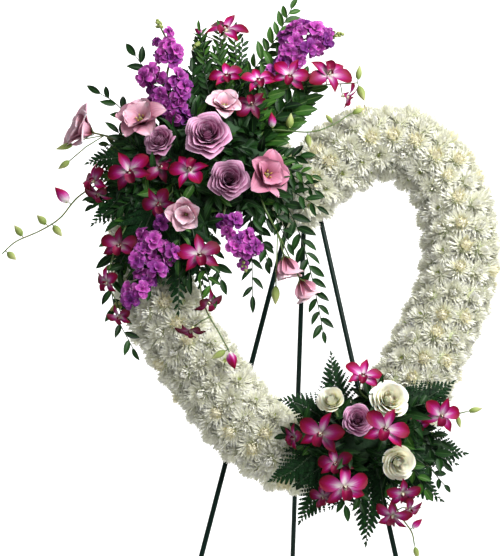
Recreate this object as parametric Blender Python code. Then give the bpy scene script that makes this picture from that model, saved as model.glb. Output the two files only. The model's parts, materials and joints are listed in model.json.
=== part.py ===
"""Funeral wreath: an open heart of white chrysanthemums with two sprays of flowers, hung on a folding easel.

Everything is in metres, +Z is up, the floor is Z = 0 and the flowers face -Y. The heart and the front legs of
the easel lie in one plane that leans back. A place on that plane is given as spot(x, z, out): x to the right
and z up in
the plane, and out from the heart's back towards the onlooker.
"""

import itertools
import math
import random

import bpy
import bmesh
from mathutils import Matrix, Vector

# Driving dimensions of the stand
LEAN = math.radians(12)
PIVOT_HEIGHT = 1.349
STAND_X = 0.095
STAND_Y = -0.1118
LEG_RADIUS = 0.00475
LEG_SPREAD = math.tan(math.radians(13.1))
LEG_CROSSING = 0.200
LEG_TOP = 0.158
LEG_OUT = -0.0100
PIVOT_Z = 0.140
PIVOT_OUT = -0.031
REAR_LEAN = math.radians(17)
PIN_RADIUS = 0.003
FOOT_RADIUS = 0.009
FOOT_LENGTH = 0.034
GAP = 0.0003

# Driving dimensions of the heart: its line is a sum of cosines of the angle from the notch
HEART_SERIES = (0.2675, -0.0815, -0.0220, -0.0500, -0.0070, -0.0132)
HEART_TILT = math.radians(6.1)
HEART_UP = 0.014
TILES = 24
BOARD_HALF = 0.046
BOARD_DEPTH = 0.005
FOAM_HALF = 0.045
FOAM_FRONT = 0.050
BED_HALF = 0.050
BED_RISE = 0.044
BED_MIDDLE = 0.016
BED_WRAP = math.radians(100)
HEAD_RISE = 0.032
GROOVE_RISE = 0.006

# Spans of tiles round the heart, from the notch to the right: the sprays' own foam takes the crown of two spans
FULL_SPANS = ((0, 3), (3, 5), (5, 7), (7, 10), (12, 14), (14, 17), (17, 20), (23, 24))
TOP_SPAN = (20, 23)
BOTTOM_SPAN = (10, 12)

STEM_RADIUS = 0.0018
STEM_STOP = 0.026
SPINE_OUT = 0.094
LEAF_OUT = 0.080
LEAF_FOOT = 0.055
LEAF_KNOT = 0.0055
FOAM_NECK = 0.0745
BLADE = 0.0018

GREEN_PAINT = (0.012, 0.060, 0.038)
WHITE_PETAL = (0.88, 0.88, 0.80)
LAVENDER = (0.52, 0.26, 0.48)
IVORY = (0.86, 0.84, 0.72)
PINK = (0.72, 0.30, 0.44)
PURPLE = (0.30, 0.05, 0.42)
MAGENTA = (0.52, 0.02, 0.22)
LEAF = (0.05, 0.14, 0.04)

for old in list(bpy.data.objects):
    bpy.data.objects.remove(old)

model = bpy.data.collections.new("funeral_wreath")
bpy.context.scene.collection.children.link(model)
dice = random.Random(24)

lean_turn = Matrix.Rotation(-LEAN, 4, "X")
pivot_in_plane = Vector((0.0, -PIVOT_OUT, PIVOT_Z))
plane_lift = PIVOT_HEIGHT - (lean_turn @ pivot_in_plane).z
plane_frame = Matrix.Translation((STAND_X, STAND_Y, plane_lift)) @ lean_turn
wreath = bpy.data.objects.new("wreath_plane", None)
wreath.matrix_world = plane_frame
model.objects.link(wreath)


def spot(x, z, out):
    """A place in the leaning plane: x right, z up, out from the heart's back."""
    return Vector((x, -out, z))


def finish(name, colour, roughness, metallic=0.0):
    """A plain Principled material."""
    made = bpy.data.materials.new(name)
    made.use_nodes = True
    shader = made.node_tree.nodes["Principled BSDF"]
    shader.inputs["Base Color"].default_value = (*colour, 1.0)
    shader.inputs["Roughness"].default_value = roughness
    shader.inputs["Metallic"].default_value = metallic
    return made


def evaluated_mesh(thing):
    """The mesh of an object with its modifiers applied."""
    bpy.context.view_layer.update()
    return bpy.data.meshes.new_from_object(thing.evaluated_get(bpy.context.evaluated_depsgraph_get()))


def mesh_of(build):
    """A mesh from a bmesh, which is freed."""
    mesh = bpy.data.meshes.new("piece")
    build.to_mesh(mesh)
    build.free()
    return mesh


def triangles(points, faces):
    """A closed mesh from points and faces, with its faces turned outwards."""
    build = bmesh.new()
    corners = [build.verts.new(p) for p in points]
    for face in faces:
        build.faces.new([corners[n] for n in face])
    outward(build)
    return mesh_of(build)


def outward(build):
    """Turns the faces of a closed bmesh outwards."""
    bmesh.ops.recalc_face_normals(build, faces=build.faces)
    if build.calc_volume(signed=True) < 0:
        bmesh.ops.reverse_faces(build, faces=build.faces)


def one_body(mesh):
    """The largest connected body of a fused mesh without loose scraps, or None where it isn't closed."""
    build = bmesh.new()
    build.from_mesh(mesh)
    bmesh.ops.remove_doubles(build, verts=build.verts, dist=0.000002)
    unseen = set(build.verts)
    bodies = []
    while unseen:
        wave = [unseen.pop()]
        body = list(wave)
        while wave:
            near = [e.other_vert(v) for v in wave for e in v.link_edges]
            wave = [v for v in set(near) if v in unseen]
            unseen.difference_update(wave)
            body += wave
        bodies.append(body)
    bodies.sort(key=len)
    for scrap in bodies[:-1]:
        bmesh.ops.delete(build, geom=scrap, context="VERTS")
    bmesh.ops.triangulate(build, faces=build.faces)
    for edge in [e for e in build.edges if len(e.link_faces) == 4]:
        flip(build, edge)
    closed = all(edge.is_manifold for edge in build.edges) and build.calc_volume(signed=True) > 0
    body = mesh_of(build)
    return body if closed else None


def flip(build, edge):
    """Gives two level triangles their other diagonal, where their own is also an edge of two other
    triangles."""
    for one, two in itertools.combinations(edge.link_faces, 2):
        ends = [next(v for v in face.verts if v not in edge.verts) for face in (one, two)]
        level = one.normal.dot(two.normal) > 0.9999
        if level and not any(ends[1] in e.verts for e in ends[0].link_edges):
            a, b = [loop.vert for loop in one.loops if loop.vert in edge.verts]
            order = [loop.vert for loop in one.loops]
            if order[(order.index(a) + 1) % 3] is not b:
                a, b = b, a
            bmesh.ops.delete(build, geom=[one, two], context="FACES_ONLY")
            build.faces.new((ends[0], a, ends[1]))
            build.faces.new((ends[1], b, ends[0]))
            return


def joined(mesh, others, operation, solver):
    """A mesh joined with, or cut by, other closed meshes in one Boolean."""
    body = bpy.data.objects.new("body", mesh)
    model.objects.link(body)
    group = bpy.data.collections.new("others")
    bpy.context.scene.collection.children.link(group)
    for other in others:
        group.objects.link(bpy.data.objects.new("piece", other))
    boolean = body.modifiers.new("boolean", "BOOLEAN")
    boolean.operation = operation
    boolean.operand_type = "COLLECTION"
    boolean.collection = group
    boolean.solver = solver
    result = evaluated_mesh(body)
    for thing in [body, *group.objects]:
        bpy.data.objects.remove(thing)
    bpy.data.collections.remove(group)
    return result


def fuse(name, pieces, material, parent=wreath, cuts=()):
    """One named object from closed pieces joined by a Boolean union, less the cuts.

    The EXACT solver does it in one step. MANIFOLD does it where EXACT leaves a body that isn't closed, and then
    the pieces go one by one.
    """
    for solver, batch in (("EXACT", 100), ("MANIFOLD", 100), ("EXACT", 1), ("MANIFOLD", 1)):
        mesh = pieces[0]
        for others, operation in ((pieces[1:], "UNION"), (list(cuts), "DIFFERENCE")):
            for n in range(0, len(others), batch):
                mesh = joined(mesh, others[n:n + batch], operation, solver)
        mesh = one_body(mesh)
        if mesh:
            break
        print("the", solver, "solver leaves", name, "open")
    mesh.name = name
    mesh.materials.append(material)
    body = bpy.data.objects.new(name, mesh)
    model.objects.link(body)
    body.parent = parent
    return body


def rod(points, radius, resolution=0):
    """A round rod along points, as a mesh with welded caps."""
    curve = bpy.data.curves.new("rod", "CURVE")
    curve.dimensions = "3D"
    curve.bevel_depth = radius
    curve.bevel_resolution = resolution
    curve.use_fill_caps = True
    spline = curve.splines.new("POLY")
    spline.points.add(len(points) - 1)
    for point, place in zip(spline.points, points):
        point.co = (*place, 1.0)
    thing = bpy.data.objects.new("rod", curve)
    model.objects.link(thing)
    mesh = evaluated_mesh(thing)
    bpy.data.objects.remove(thing)
    build = bmesh.new()
    build.from_mesh(mesh)
    bmesh.ops.remove_doubles(build, verts=build.verts, dist=0.000001)
    outward(build)
    return mesh_of(build)


def box(low, high):
    """A box between two corners."""
    build = bmesh.new()
    bmesh.ops.create_cube(build, size=1.0)
    size = [high[n] - low[n] for n in range(3)]
    middle = [(high[n] + low[n]) / 2 for n in range(3)]
    bmesh.ops.transform(build, verts=build.verts,
                        matrix=Matrix.Translation(middle) @ Matrix.Diagonal((*size, 1.0)))
    return mesh_of(build)


def bar_across(middle, radius, width, sides=12):
    """A cylinder along X."""
    build = bmesh.new()
    bmesh.ops.create_cone(build, cap_ends=True, segments=sides, radius1=radius, radius2=radius, depth=width)
    turn = Matrix.Translation(middle) @ Matrix.Rotation(math.pi / 2, 4, "Y")
    bmesh.ops.transform(build, verts=build.verts, matrix=turn)
    return mesh_of(build)


def ringed(rings, bottom, top):
    """A closed solid from rings of points with the same count, closed at both ends by a point."""
    count = len(rings[0])
    points = [p for ring in rings for p in ring] + [bottom, top]
    low, high = len(points) - 2, len(points) - 1
    last = (len(rings) - 1) * count
    faces = []
    for n in range(count):
        m = (n + 1) % count
        faces.append((low, m, n))
        faces.append((high, last + n, last + m))
        for level in range(len(rings) - 1):
            a, b = level * count + n, level * count + m
            faces.append((a, b, b + count))
            faces.append((a, b + count, a + count))
    return triangles(points, faces)


# The pieces that flowers and leaves are made of


def blade(root, tip, width, face, shape=((0.5, 1.0, 0.0),), cup=0.0, thick=BLADE):
    """A leaf or petal: a lens with a pointed root and tip.

    Each row of shape is (place along, share of the width, lift towards face as a share of the length), and cup
    lifts the two edges by that share of the width.
    """
    along = tip - root
    side = along.cross(face).normalized()
    rise = side.cross(along).normalized()
    points = [root]
    for place, share, lift in shape:
        middle = root + along * place + rise * (lift * along.length)
        half = side * (width * share / 2)
        edge = rise * (cup * width * share)
        points += [middle + half + edge, middle + rise * thick / 2, middle - half + edge,
                   middle - rise * thick / 2]
    points.append(tip)
    end = len(points) - 1
    faces = []
    for n in range(4):
        m = (n + 1) % 4
        faces.append((0, 1 + m, 1 + n))
        faces.append((end, end - 4 + n, end - 4 + m))
        for row in range(len(shape) - 1):
            a, b = 1 + 4 * row + n, 1 + 4 * row + m
            if n % 2:
                faces += [(a, b, a + 4), (b, b + 4, a + 4)]
            else:
                faces += [(a, b, b + 4), (a, b + 4, a + 4)]
    return triangles(points, faces)


def facing(at, face, spin=0.0):
    """The frame of a flower at a place, its +Z towards face."""
    turn = Vector(face).normalized().to_track_quat("Z", "Y").to_matrix().to_4x4()
    return Matrix.Translation(at) @ turn @ Matrix.Rotation(math.radians(spin), 4, "Z")


def rose(frame, size):
    """A rose: whorls of round petals nested from its outside to its heart, each turned half a petal on the
    last.

    Each row is a ring of the surface: its radius and height as shares of the size, how far its five petals
    swell beyond the gaps between them, and its turn in half petals.
    """
    whorls = (
        (0.30, -0.62, 0.00, 0), (0.96, -0.16, 0.16, 0), (0.74, -0.08, 0.06, 0), (0.82, 0.20, 0.14, 1),
        (0.52, 0.12, 0.06, 1), (0.52, 0.44, 0.12, 2), (0.26, 0.28, 0.04, 2),
    )
    rings = []
    for radius, height, swell, turn in whorls:
        ring = []
        for n in range(10):
            angle = math.tau * (n + turn) / 10 + 0.22 * turn
            petal = 1 if n % 2 == 0 else -1
            reach = size * radius * (1 + swell * petal * 0.6)
            lift = size * (height + 0.3 * swell * petal)
            ring.append(frame @ Vector((reach * math.cos(angle), reach * math.sin(angle), lift)))
        rings.append(ring)
    return [ringed(rings, frame @ Vector((0, 0, -0.70 * size)), frame @ Vector((0, 0, 0.40 * size)))]


def lisianthus(frame, size, opening=1.0):
    """A lisianthus: five broad petals that open from a narrow base, round a small heart."""
    rise = 0.75 - 0.55 * opening
    rows = ((0.24, -0.50, 0.0), (0.95 * opening, rise, 0.28), (0.40 * opening, rise - 0.42, 0.06))
    rings = []
    for radius, height, swell in rows:
        ring = []
        for n in range(15):
            angle = math.tau * (n + 0.25 * (n % 3 - 1)) / 15
            valley = n % 3 == 0
            reach = size * radius * (1 - swell if valley else 1)
            lift = size * (height - (0.6 * swell if valley else 0))
            ring.append(frame @ Vector((reach * math.cos(angle), reach * math.sin(angle), lift)))
        rings.append(ring)
    return [ringed(rings, frame @ Vector((0, 0, -0.70 * size)), frame @ Vector((0, 0, size * (rise - 0.15))))]


def star(frame, petals, size, back, heart, valley=0.22, pointed=True):
    """A flower of separate petals in one closed piece: an outline of petals, thick at its middle.

    Each petal is (angle, reach, width, rise), by rising angle, and back is where its stalk joins the stem.
    """
    ring = []
    count = len(petals)
    for n, (angle, reach, width, rise) in enumerate(petals):
        before = petals[n - 1][0] - (360 if n == 0 else 0)
        between = math.radians((angle + before) / 2)
        ring.append(frame @ (Vector((math.cos(between), math.sin(between), 0.0)) * valley * size))
        turn = Matrix.Rotation(math.radians(angle), 4, "Z")
        outline = [(0.62, -width / 2, 0.75 * rise), (1.0, 0.0, rise), (0.62, width / 2, 0.75 * rise)]
        if not pointed:
            outline = [(0.92, -width / 2, rise), (0.92, width / 2, 0.7 * rise)]
        for along, across, lift in outline:
            ring.append(frame @ turn @ (Vector((along * reach, across, lift)) * size))
    return ringed([ring], back, frame @ Vector((0, 0, heart * size)))


def orchid(frame, size, back):
    """A dendrobium bloom: three narrow sepals, two broad petals and a lip round its column."""
    petals = ((25, 1.00, 0.58, 0.12), (90, 1.00, 0.44, 0.06), (155, 1.00, 0.58, 0.12), (215, 0.92, 0.40, 0.02),
              (270, 0.66, 0.30, 0.34), (325, 0.92, 0.40, 0.02))
    return star(frame, petals, size, back, 0.24)


def bud(root, tip, width, stalk=0.35):
    """A bud on its own short stalk."""
    face = spot(0, 0, 1) if abs((tip - root).normalized().y) < 0.9 else spot(1, 0, 0)
    return blade(root, tip, width, face, ((stalk, 0.24, 0.0), (0.5 + stalk / 2, 1.0, 0.0)), thick=width * 0.7)


def floret(frame, size, back):
    """A ruffled floret of stock: four blunt petals in a shallow cup."""
    petals = [(90 * n + 45, 1.0, 1.05, 0.22 if n % 2 else 0.02) for n in range(4)]
    return star(frame, petals, size, back, -0.10, 0.45, False)


def along_line(points, share):
    """The place at a share of the length of a line of points, and its direction there."""
    steps = [(b - a).length for a, b in zip(points, points[1:])]
    left = share * sum(steps)
    for a, b, step in zip(points, points[1:], steps):
        if left <= step or b is points[-1]:
            return a.lerp(b, left / step), (b - a).normalized()
        left -= step


def stock_spike(points, count, size, start=0.25):
    """A spike of stock: florets in a spiral round its stem, smaller to the tip, which ends in a bud."""
    pieces = [rod(points, 0.0030)]
    for n in range(count):
        place, way = along_line(points, start + (0.95 - start) * n / (count - 1))
        turn = Matrix.Rotation(math.radians((-70, 10, 72, -30, 45)[n % 5]), 3, way)
        out = turn @ spot(0, 0, 1)
        local = size * (1.0 - 0.35 * n / count)
        frame = facing(place + out * local * 0.80, out + way * 0.25, 50 * n)
        pieces.append(floret(frame, local, place - out * 0.001))
    tip, way = along_line(points, 1.0)
    pieces.append(bud(tip - way * 0.008, tip + way * 0.016, 0.012, 0.2))
    return pieces


def leaf_strip(line, face, teeth, rib=0.0013):
    """A stem with its leaves in one thin arched piece: each leaf is cut to the rib.

    line holds the places along the rib. teeth gives, for each stretch of the rib and each side, the leaf's tip,
    its half width and where along it that is, or no width for a plain pointed leaflet.
    """
    points, faces = [], []
    last = len(line) - 1
    for n, place in enumerate(line[:-1]):
        ahead = (line[n + 1] - line[max(n - 1, 0)]).normalized()
        side = ahead.cross(face).normalized()
        rise = side.cross(ahead).normalized()
        for across in (1, -1):
            for lift in (0.5, -0.5):
                points.append(place + side * (rib * across) + rise * (0.0014 * lift))
    points.append(line[-1])
    end = len(points) - 1
    for n in range(last):
        a, b = 4 * n, 4 * n + 4
        if n == last - 1:
            faces += [(a, a + 2, end), (a + 1, a + 3, end), (a, a + 1, end), (a + 2, a + 3, end)]
            continue
        for low in (0, 1):
            faces += [(a + low, a + 2 + low, b + 2 + low), (a + low, b + 2 + low, b + low)]
        for edge, way in ((0, 1), (2, -1)):
            p, q, r, t = a + edge, b + edge, a + edge + 1, b + edge + 1
            tooth = teeth(n, way)
            if tooth is None:
                faces += [(p, q, t), (p, t, r)]
                continue
            tip, half, place = tooth
            tip_at = len(points)
            if half == 0:
                points.append(tip)
                faces += [(p, q, tip_at), (r, t, tip_at), (p, r, tip_at), (q, t, tip_at)]
                continue
            root = (line[n] + line[n + 1]) / 2
            along = tip - root
            across = along.cross(face).normalized()
            rise = across.cross(along).normalized()
            middle = root + along * place
            if across.dot(line[n + 1] - line[n]) > 0:
                across = -across
            points += [tip, middle + across * half, middle - across * half, middle + rise * 0.0009,
                       middle - rise * 0.0009]
            near, far, high, low = tip_at + 1, tip_at + 2, tip_at + 3, tip_at + 4
            for m, one, two in ((high, p, q), (low, r, t)):
                faces += [(one, near, m), (one, m, two), (two, m, far), (near, tip_at, m), (m, tip_at, far)]
            faces += [(p, r, near), (q, t, far)]
    faces += [(0, 1, 3), (0, 3, 2)]
    return triangles(points, faces)


def smooth_line(points):
    """Close places along a smooth curve through the points."""
    ends = [points[0] * 2 - points[1], *points, points[-1] * 2 - points[-2]]
    fine = []
    for a, b, c, d in zip(ends, ends[1:], ends[2:], ends[3:]):
        for n in range(8):
            t = n / 8
            fine.append((b * 2 + (c - a) * t + (a * 2 - b * 5 + c * 4 - d) * t ** 2
                         + (b * 3 - a - c * 3 + d) * t ** 3) / 2)
    return [*fine, points[-1]]


def rib_line(points, steps, bare):
    """The places along a rib, in a few stretches where it is bare and then in equal steps, and where those
    start."""
    fine = smooth_line(points)
    length = sum((b - a).length for a, b in zip(fine, fine[1:]))
    foot = (points[1] - points[0]).length / length
    shares = [0.0, foot]
    if bare - foot > 0.12:
        shares.append((foot + bare) / 2)
    first = len(shares)
    shares += [bare + (1 - bare) * n / steps for n in range(steps + 1)]
    return [along_line(fine, share)[0] for share in shares], first


def leafy_stem(points, leaves, length, width, bare=0.4, spread=50):
    """A stem with leaves by turns to its left and right."""
    line, first = rib_line(points, leaves + 1, bare)
    face = spot(0, 0, 1)

    def teeth(n, way):
        if n < first or n >= len(line) - 2 or (n % 2 == 0) != (way > 0):
            return None
        ahead = (line[n + 1] - line[n]).normalized()
        out = Matrix.Rotation(math.radians(-spread * way), 3, face) @ ahead
        out = (out + face * dice.uniform(-0.10, 0.20)).normalized()
        return (line[n] + line[n + 1]) / 2 + out * length, width / 2, 0.42

    return leaf_strip(line, face, teeth)


def frond(points, width, pairs, bare=0.3):
    """A fern frond, whose leaflets are longest near its base and lean to its tip."""
    line, first = rib_line(points, pairs + 1, bare)
    face = spot(0, 0, 1)

    def teeth(n, way):
        if n < first or n >= len(line) - 2:
            return None
        share = (n - first) / pairs
        reach = width / 2 * (0.72 + 1.1 * share if share < 0.25 else 1.33 * (1 - share) + 0.05)
        ahead = (line[n + 1] - line[n]).normalized()
        side = ahead.cross(face).normalized() * way
        return (line[n] + line[n + 1]) / 2 + side * reach + ahead * reach * 0.55 - face * reach * 0.10, 0, 0

    return leaf_strip(line, face, teeth, 0.0016)


# The heart's line and its surface


def heart_radius(angle):
    """Distance of the heart's line from its middle, as a sum of cosines of the angle from the notch."""
    return sum(size * math.cos(n * angle) for n, size in enumerate(HEART_SERIES))


def heart_stations():
    """Places at equal steps along the heart's line, each with its outward direction in the plane."""
    fine = 960
    line = []
    for n in range(fine):
        angle = math.tau * n / fine
        line.append(Vector((math.sin(angle), math.cos(angle))) * heart_radius(angle))
    lengths = [0.0]
    for n in range(fine):
        lengths.append(lengths[-1] + (line[(n + 1) % fine] - line[n]).length)
    places = []
    for tile in range(TILES):
        goal = lengths[-1] * tile / TILES
        places.append(line[next(n for n in range(fine) if lengths[n + 1] > goal)])
    outwards = []
    for n in range(TILES):
        ways = Vector((0.0, 0.0))
        for step in (-1, 0, 1):
            ahead = places[(n + step + 1) % TILES] - places[(n + step - 1) % TILES]
            ways += Vector((-ahead.y, ahead.x)).normalized() * (2 if step == 0 else 1)
        outwards.append(ways.normalized())
    tilt = Matrix.Rotation(HEART_TILT, 2)
    return [(tilt @ p + Vector((0, HEART_UP)), tilt @ o) for p, o in zip(places, outwards)]


stations = heart_stations()


def on_ring(tile, across, out):
    """A place by its tile number along the heart, its way across from the line, and out."""
    whole = int(math.floor(tile))
    share = tile - whole
    ends = []
    for n in (whole, whole + 1):
        place, way = stations[n % TILES]
        ends.append(spot(place.x + way.x * across, place.y + way.y * across, out))
    return ends[0].lerp(ends[1], share)


def on_bed(tile, turn, rise):
    """A place on the rounded bed of the heads: turn runs from -1, the inner back edge, to 1, the outer back
    edge."""
    angle = turn * BED_WRAP
    across = (BED_HALF + rise) * math.sin(angle)
    out = BED_MIDDLE + (BED_RISE + rise) * math.cos(angle)
    return on_ring(tile, across, out)


def looped(section):
    """A closed ring round the heart with the same section all the way."""
    points = [on_ring(tile, across, out) for tile in range(TILES) for across, out in section]
    count = len(section)
    faces = []
    for tile in range(TILES):
        for n in range(count):
            a, b = tile * count, (tile + 1) % TILES * count
            m = (n + 1) % count
            faces.append((a + n, a + m, b + m))
            faces.append((a + n, b + m, b + n))
    return triangles(points, faces)


foam_section = (
    (-FOAM_HALF, BOARD_DEPTH + GAP), (-FOAM_HALF, 0.034), (-0.028, FOAM_FRONT),
    (0.028, FOAM_FRONT), (FOAM_HALF, 0.034), (FOAM_HALF, BOARD_DEPTH + GAP),
)
board_section = ((-BOARD_HALF, 0.0), (-BOARD_HALF, BOARD_DEPTH), (BOARD_HALF, BOARD_DEPTH), (BOARD_HALF, 0.0))


def flower_heads(name, span, rows, material):
    """Chrysanthemum heads side by side over part of the heart, as one solid whose petals stand out of its
    surface.

    rows are the first and last of the three rows of heads, from the inner flank over the crown to the outer
    flank.
    """
    first, last = span
    low_row, high_row = rows
    points = []
    faces = []
    numbers = {}

    def point(key, place):
        if key not in numbers:
            numbers[key] = len(points)
            points.append(place)
        return numbers[key]

    def trimmed(tile):
        return min(max(tile, first + 0.004), last - 0.004)

    def turn_of(row):
        turn = -1 + 2 * row / 3
        if low_row > 0 and row == low_row:
            return turn + 0.012
        if high_row < 3 and row == high_row:
            return turn - 0.012
        return turn

    def edge(tile2, row2):
        tile, row = tile2 / 2, row2 / 2
        turn = turn_of(row) if row2 % 2 == 0 else (turn_of(math.floor(row)) + turn_of(math.ceil(row))) / 2
        return point(("edge", tile2, row2), on_bed(trimmed(tile), turn, GROOVE_RISE))

    def under(tile, index):
        across, out = under_section[index]
        return point(("under", tile, index), on_ring(trimmed(tile), across, out))

    under_section = []
    for across, out in foam_section:
        above_board = out > BOARD_DEPTH + 2 * GAP
        under_section.append((across + math.copysign(GAP, across), out + GAP * above_board))
    if rows == (0, 1):
        under_section = under_section[:3]
        under_section[-1] = (-0.0283, FOAM_FRONT + GAP)
    if rows == (2, 3):
        under_section = under_section[3:]
        under_section[0] = (0.0283, FOAM_FRONT + GAP)
    for tile in range(first, last):
        for row in range(low_row, high_row):
            a = [edge(2 * tile + dx, 2 * row + dy) for dx, dy in
                 ((2, 1), (2, 2), (1, 2), (0, 2), (0, 1), (0, 0), (1, 0), (2, 0))]
            rise = HEAD_RISE * (0.80 if row != 1 else 1.0) * dice.uniform(0.9, 1.1)
            middle_turn = (turn_of(row) + turn_of(row + 1)) / 2
            half_turn = (turn_of(row + 1) - turn_of(row)) / 2

            def tip(ring, n, count, reach, height):
                angle = math.tau * n / count
                square = 1 / max(abs(math.cos(angle)), abs(math.sin(angle)))
                reach *= 1 + 0.75 * (square - 1)
                reach *= dice.uniform(0.93, 1.03)
                dx, dy = reach * math.cos(angle) / 2, reach * math.sin(angle)
                place = on_bed(tile + 0.5 + dx, middle_turn + half_turn * dy,
                               rise * height * dice.uniform(0.93, 1.07))
                return point((ring, tile, row, n), place)

            outer = [tip("outer", n, 16, 0.90 if n % 2 == 0 else 0.66,
                         0.62 if n % 2 == 0 else 0.34) for n in range(16)]
            inner = []
            for n in range(16):
                if row == 1 or n % 2:
                    inner.append(tip("inner", n, 16, 0.58 if n % 2 else 0.34, 1.05 if n % 2 else 0.72))
                else:
                    inner.append(None)
            middle = tip("middle", 0, 1, 0.0, 1.02)
            for n in range(8):
                m = (n + 1) % 8
                p, q, r = outer[2 * n], outer[2 * n + 1], outer[(2 * n + 2) % 16]
                faces += [(a[n], a[m], q), (a[n], q, p), (a[m], r, q)]
            for n in range(16):
                m = (n + 1) % 16
                if row != 1:
                    faces.append((outer[n], outer[m], inner[n if n % 2 else m]))
                    if n % 2:
                        after = inner[(n + 2) % 16]
                        faces += [(outer[m], after, inner[n]), (inner[n], after, middle)]
                    continue
                faces.append((inner[n], inner[m], middle))
                if n % 2:
                    faces += [(outer[n], outer[m], inner[n]), (outer[m], inner[m], inner[n])]
                else:
                    faces += [(outer[n], outer[m], inner[m]), (outer[n], inner[m], inner[n])]
        for row2, index in ((2 * low_row, 0), (2 * high_row, len(under_section) - 1)):
            a, b, c = (edge(2 * tile + n, row2) for n in (0, 1, 2))
            d, e = under(tile, index), under(tile + 1, index)
            faces += [(a, b, d), (b, e, d), (b, c, e)]
        for index in range(len(under_section) - 1):
            a, b = under(tile, index), under(tile, index + 1)
            c, d = under(tile + 1, index), under(tile + 1, index + 1)
            faces += [(a, b, d), (a, d, c)]
    for tile in (first, last):
        rim = [edge(2 * tile, row2) for row2 in range(2 * low_row, 2 * high_row + 1)]
        base = [under(tile, index) for index in range(len(under_section))]
        at_rim, at_base = 0, 0
        while at_rim < len(rim) - 1 or at_base < len(base) - 1:
            rim_share = (at_rim + 1) / (len(rim) - 1)
            base_share = (at_base + 1) / (len(base) - 1)
            if at_base == len(base) - 1 or (at_rim < len(rim) - 1 and rim_share <= base_share):
                faces.append((rim[at_rim], rim[at_rim + 1], base[at_base]))
                at_rim += 1
            else:
                faces.append((rim[at_rim], base[at_base + 1], base[at_base]))
                at_base += 1
    return fuse(name, [triangles(points, faces)], material)


# The sprays: a holder of foam in the heart's crown, with stems in plain holes


class Spray:
    """A spray's own foam and the stems that stand in it."""

    def __init__(self, name, span):
        self.name = name
        self.first, self.last = span
        self.holes = []
        self.spine = []
        count = 8
        for n in range(count + 1):
            share = 0.18 + 0.64 * n / count
            self.spine.append(on_ring(self.first + (self.last - self.first) * share, 0.0, SPINE_OUT))

    def nearest(self, head, out):
        """The place of the foam's spine nearest to head, at a height."""
        near = min(self.spine, key=lambda p: (p - head).xz.length).copy()
        near.y = -out
        return near

    def hole(self, root, point, radius):
        """A plain hole for the stem that ends at root and leaves the foam towards point."""
        way = (point - root).normalized()
        start = root - way * GAP
        self.holes.append(rod([start, start + way * 0.110], (radius + GAP) * 1.02))

    def stem(self, head, radius=STEM_RADIUS, out=SPINE_OUT, through=(), depth=STEM_STOP):
        """The places along a stem from inside the foam to head, with its hole; those in the foam are passed
        over."""
        line = [*through, head]
        while len(line) > 1 and (line[0] - self.nearest(line[0], out)).length < 0.045:
            line.pop(0)
        near = self.nearest(line[0], out)
        root = near + (line[0] - near).normalized() * depth
        self.hole(root, line[0], radius)
        return [root, *line]

    def foam(self, material):
        """The foam: narrow between the flanks' heads, wider above them, and rounded at its ends."""
        section = (
            (-0.0262, FOAM_FRONT + GAP), (0.0262, FOAM_FRONT + GAP), (0.0262, 0.074), (0.044, 0.088),
            (0.042, 0.108), (0.020, 0.122), (-0.020, 0.122), (-0.042, 0.108), (-0.044, 0.088), (-0.0262, 0.074),
        )
        rings = []
        ends = ((0.06, 0.62), (0.38, 0.90))
        tiles = [(self.first + place, share) for place, share in ends]
        tiles += [(tile, 1.0) for tile in range(self.first + 1, self.last)]
        tiles += [(self.last - place, share) for place, share in reversed(ends)]
        for tile, share in tiles:
            ring = []
            for across, out in section:
                high = max(0.0, out - FOAM_NECK)
                lifted = min(out, FOAM_NECK) + high * share
                ring.append(on_ring(tile, across * (share if high > 0 else 1.0), lifted))
            rings.append(ring)
        low = on_ring(tiles[0][0], 0.0, 0.080)
        high = on_ring(tiles[-1][0], 0.0, 0.080)
        return fuse(self.name, [ringed(rings, low, high)], material, cuts=self.holes)


top = Spray("top_spray_foam", TOP_SPAN)
bottom = Spray("bottom_spray_foam", BOTTOM_SPAN)

white_heads = finish("white_chrysanthemum", WHITE_PETAL, 0.6)
lavender_rose = finish("lavender_rose", LAVENDER, 0.55)
ivory_rose = finish("ivory_rose", IVORY, 0.55)
pink_lisianthus = finish("pink_lisianthus", PINK, 0.55)
purple_stock = finish("purple_stock", PURPLE, 0.6)
magenta_orchid = finish("magenta_orchid", MAGENTA, 0.5)
green_leaf = finish("green_leaf", LEAF, 0.5)


def single_rose(spray, name, at, size, material, lean=(0, 0, 1), spin=0):
    """One rose on its stem."""
    place = spot(*at)
    face = spot(*lean)
    frame = facing(place, face, spin)
    neck = frame @ Vector((0, 0, -0.5 * size))
    pieces = rose(frame, size)
    pieces.append(rod(spray.stem(neck, 0.0022), 0.0022))
    return fuse(name, pieces, material)


def chrysanthemums():
    """The heart's flower heads, in spans round the heart, split where a spray's foam takes the crown."""
    for n, span in enumerate(FULL_SPANS):
        flower_heads(f"chrysanthemums_{n + 1}", span, (0, 3), white_heads)
    for label, span in (("top", TOP_SPAN), ("bottom", BOTTOM_SPAN)):
        flower_heads(f"chrysanthemums_{label}_inner", span, (0, 1), white_heads)
        flower_heads(f"chrysanthemums_{label}_outer", span, (2, 3), white_heads)


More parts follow.
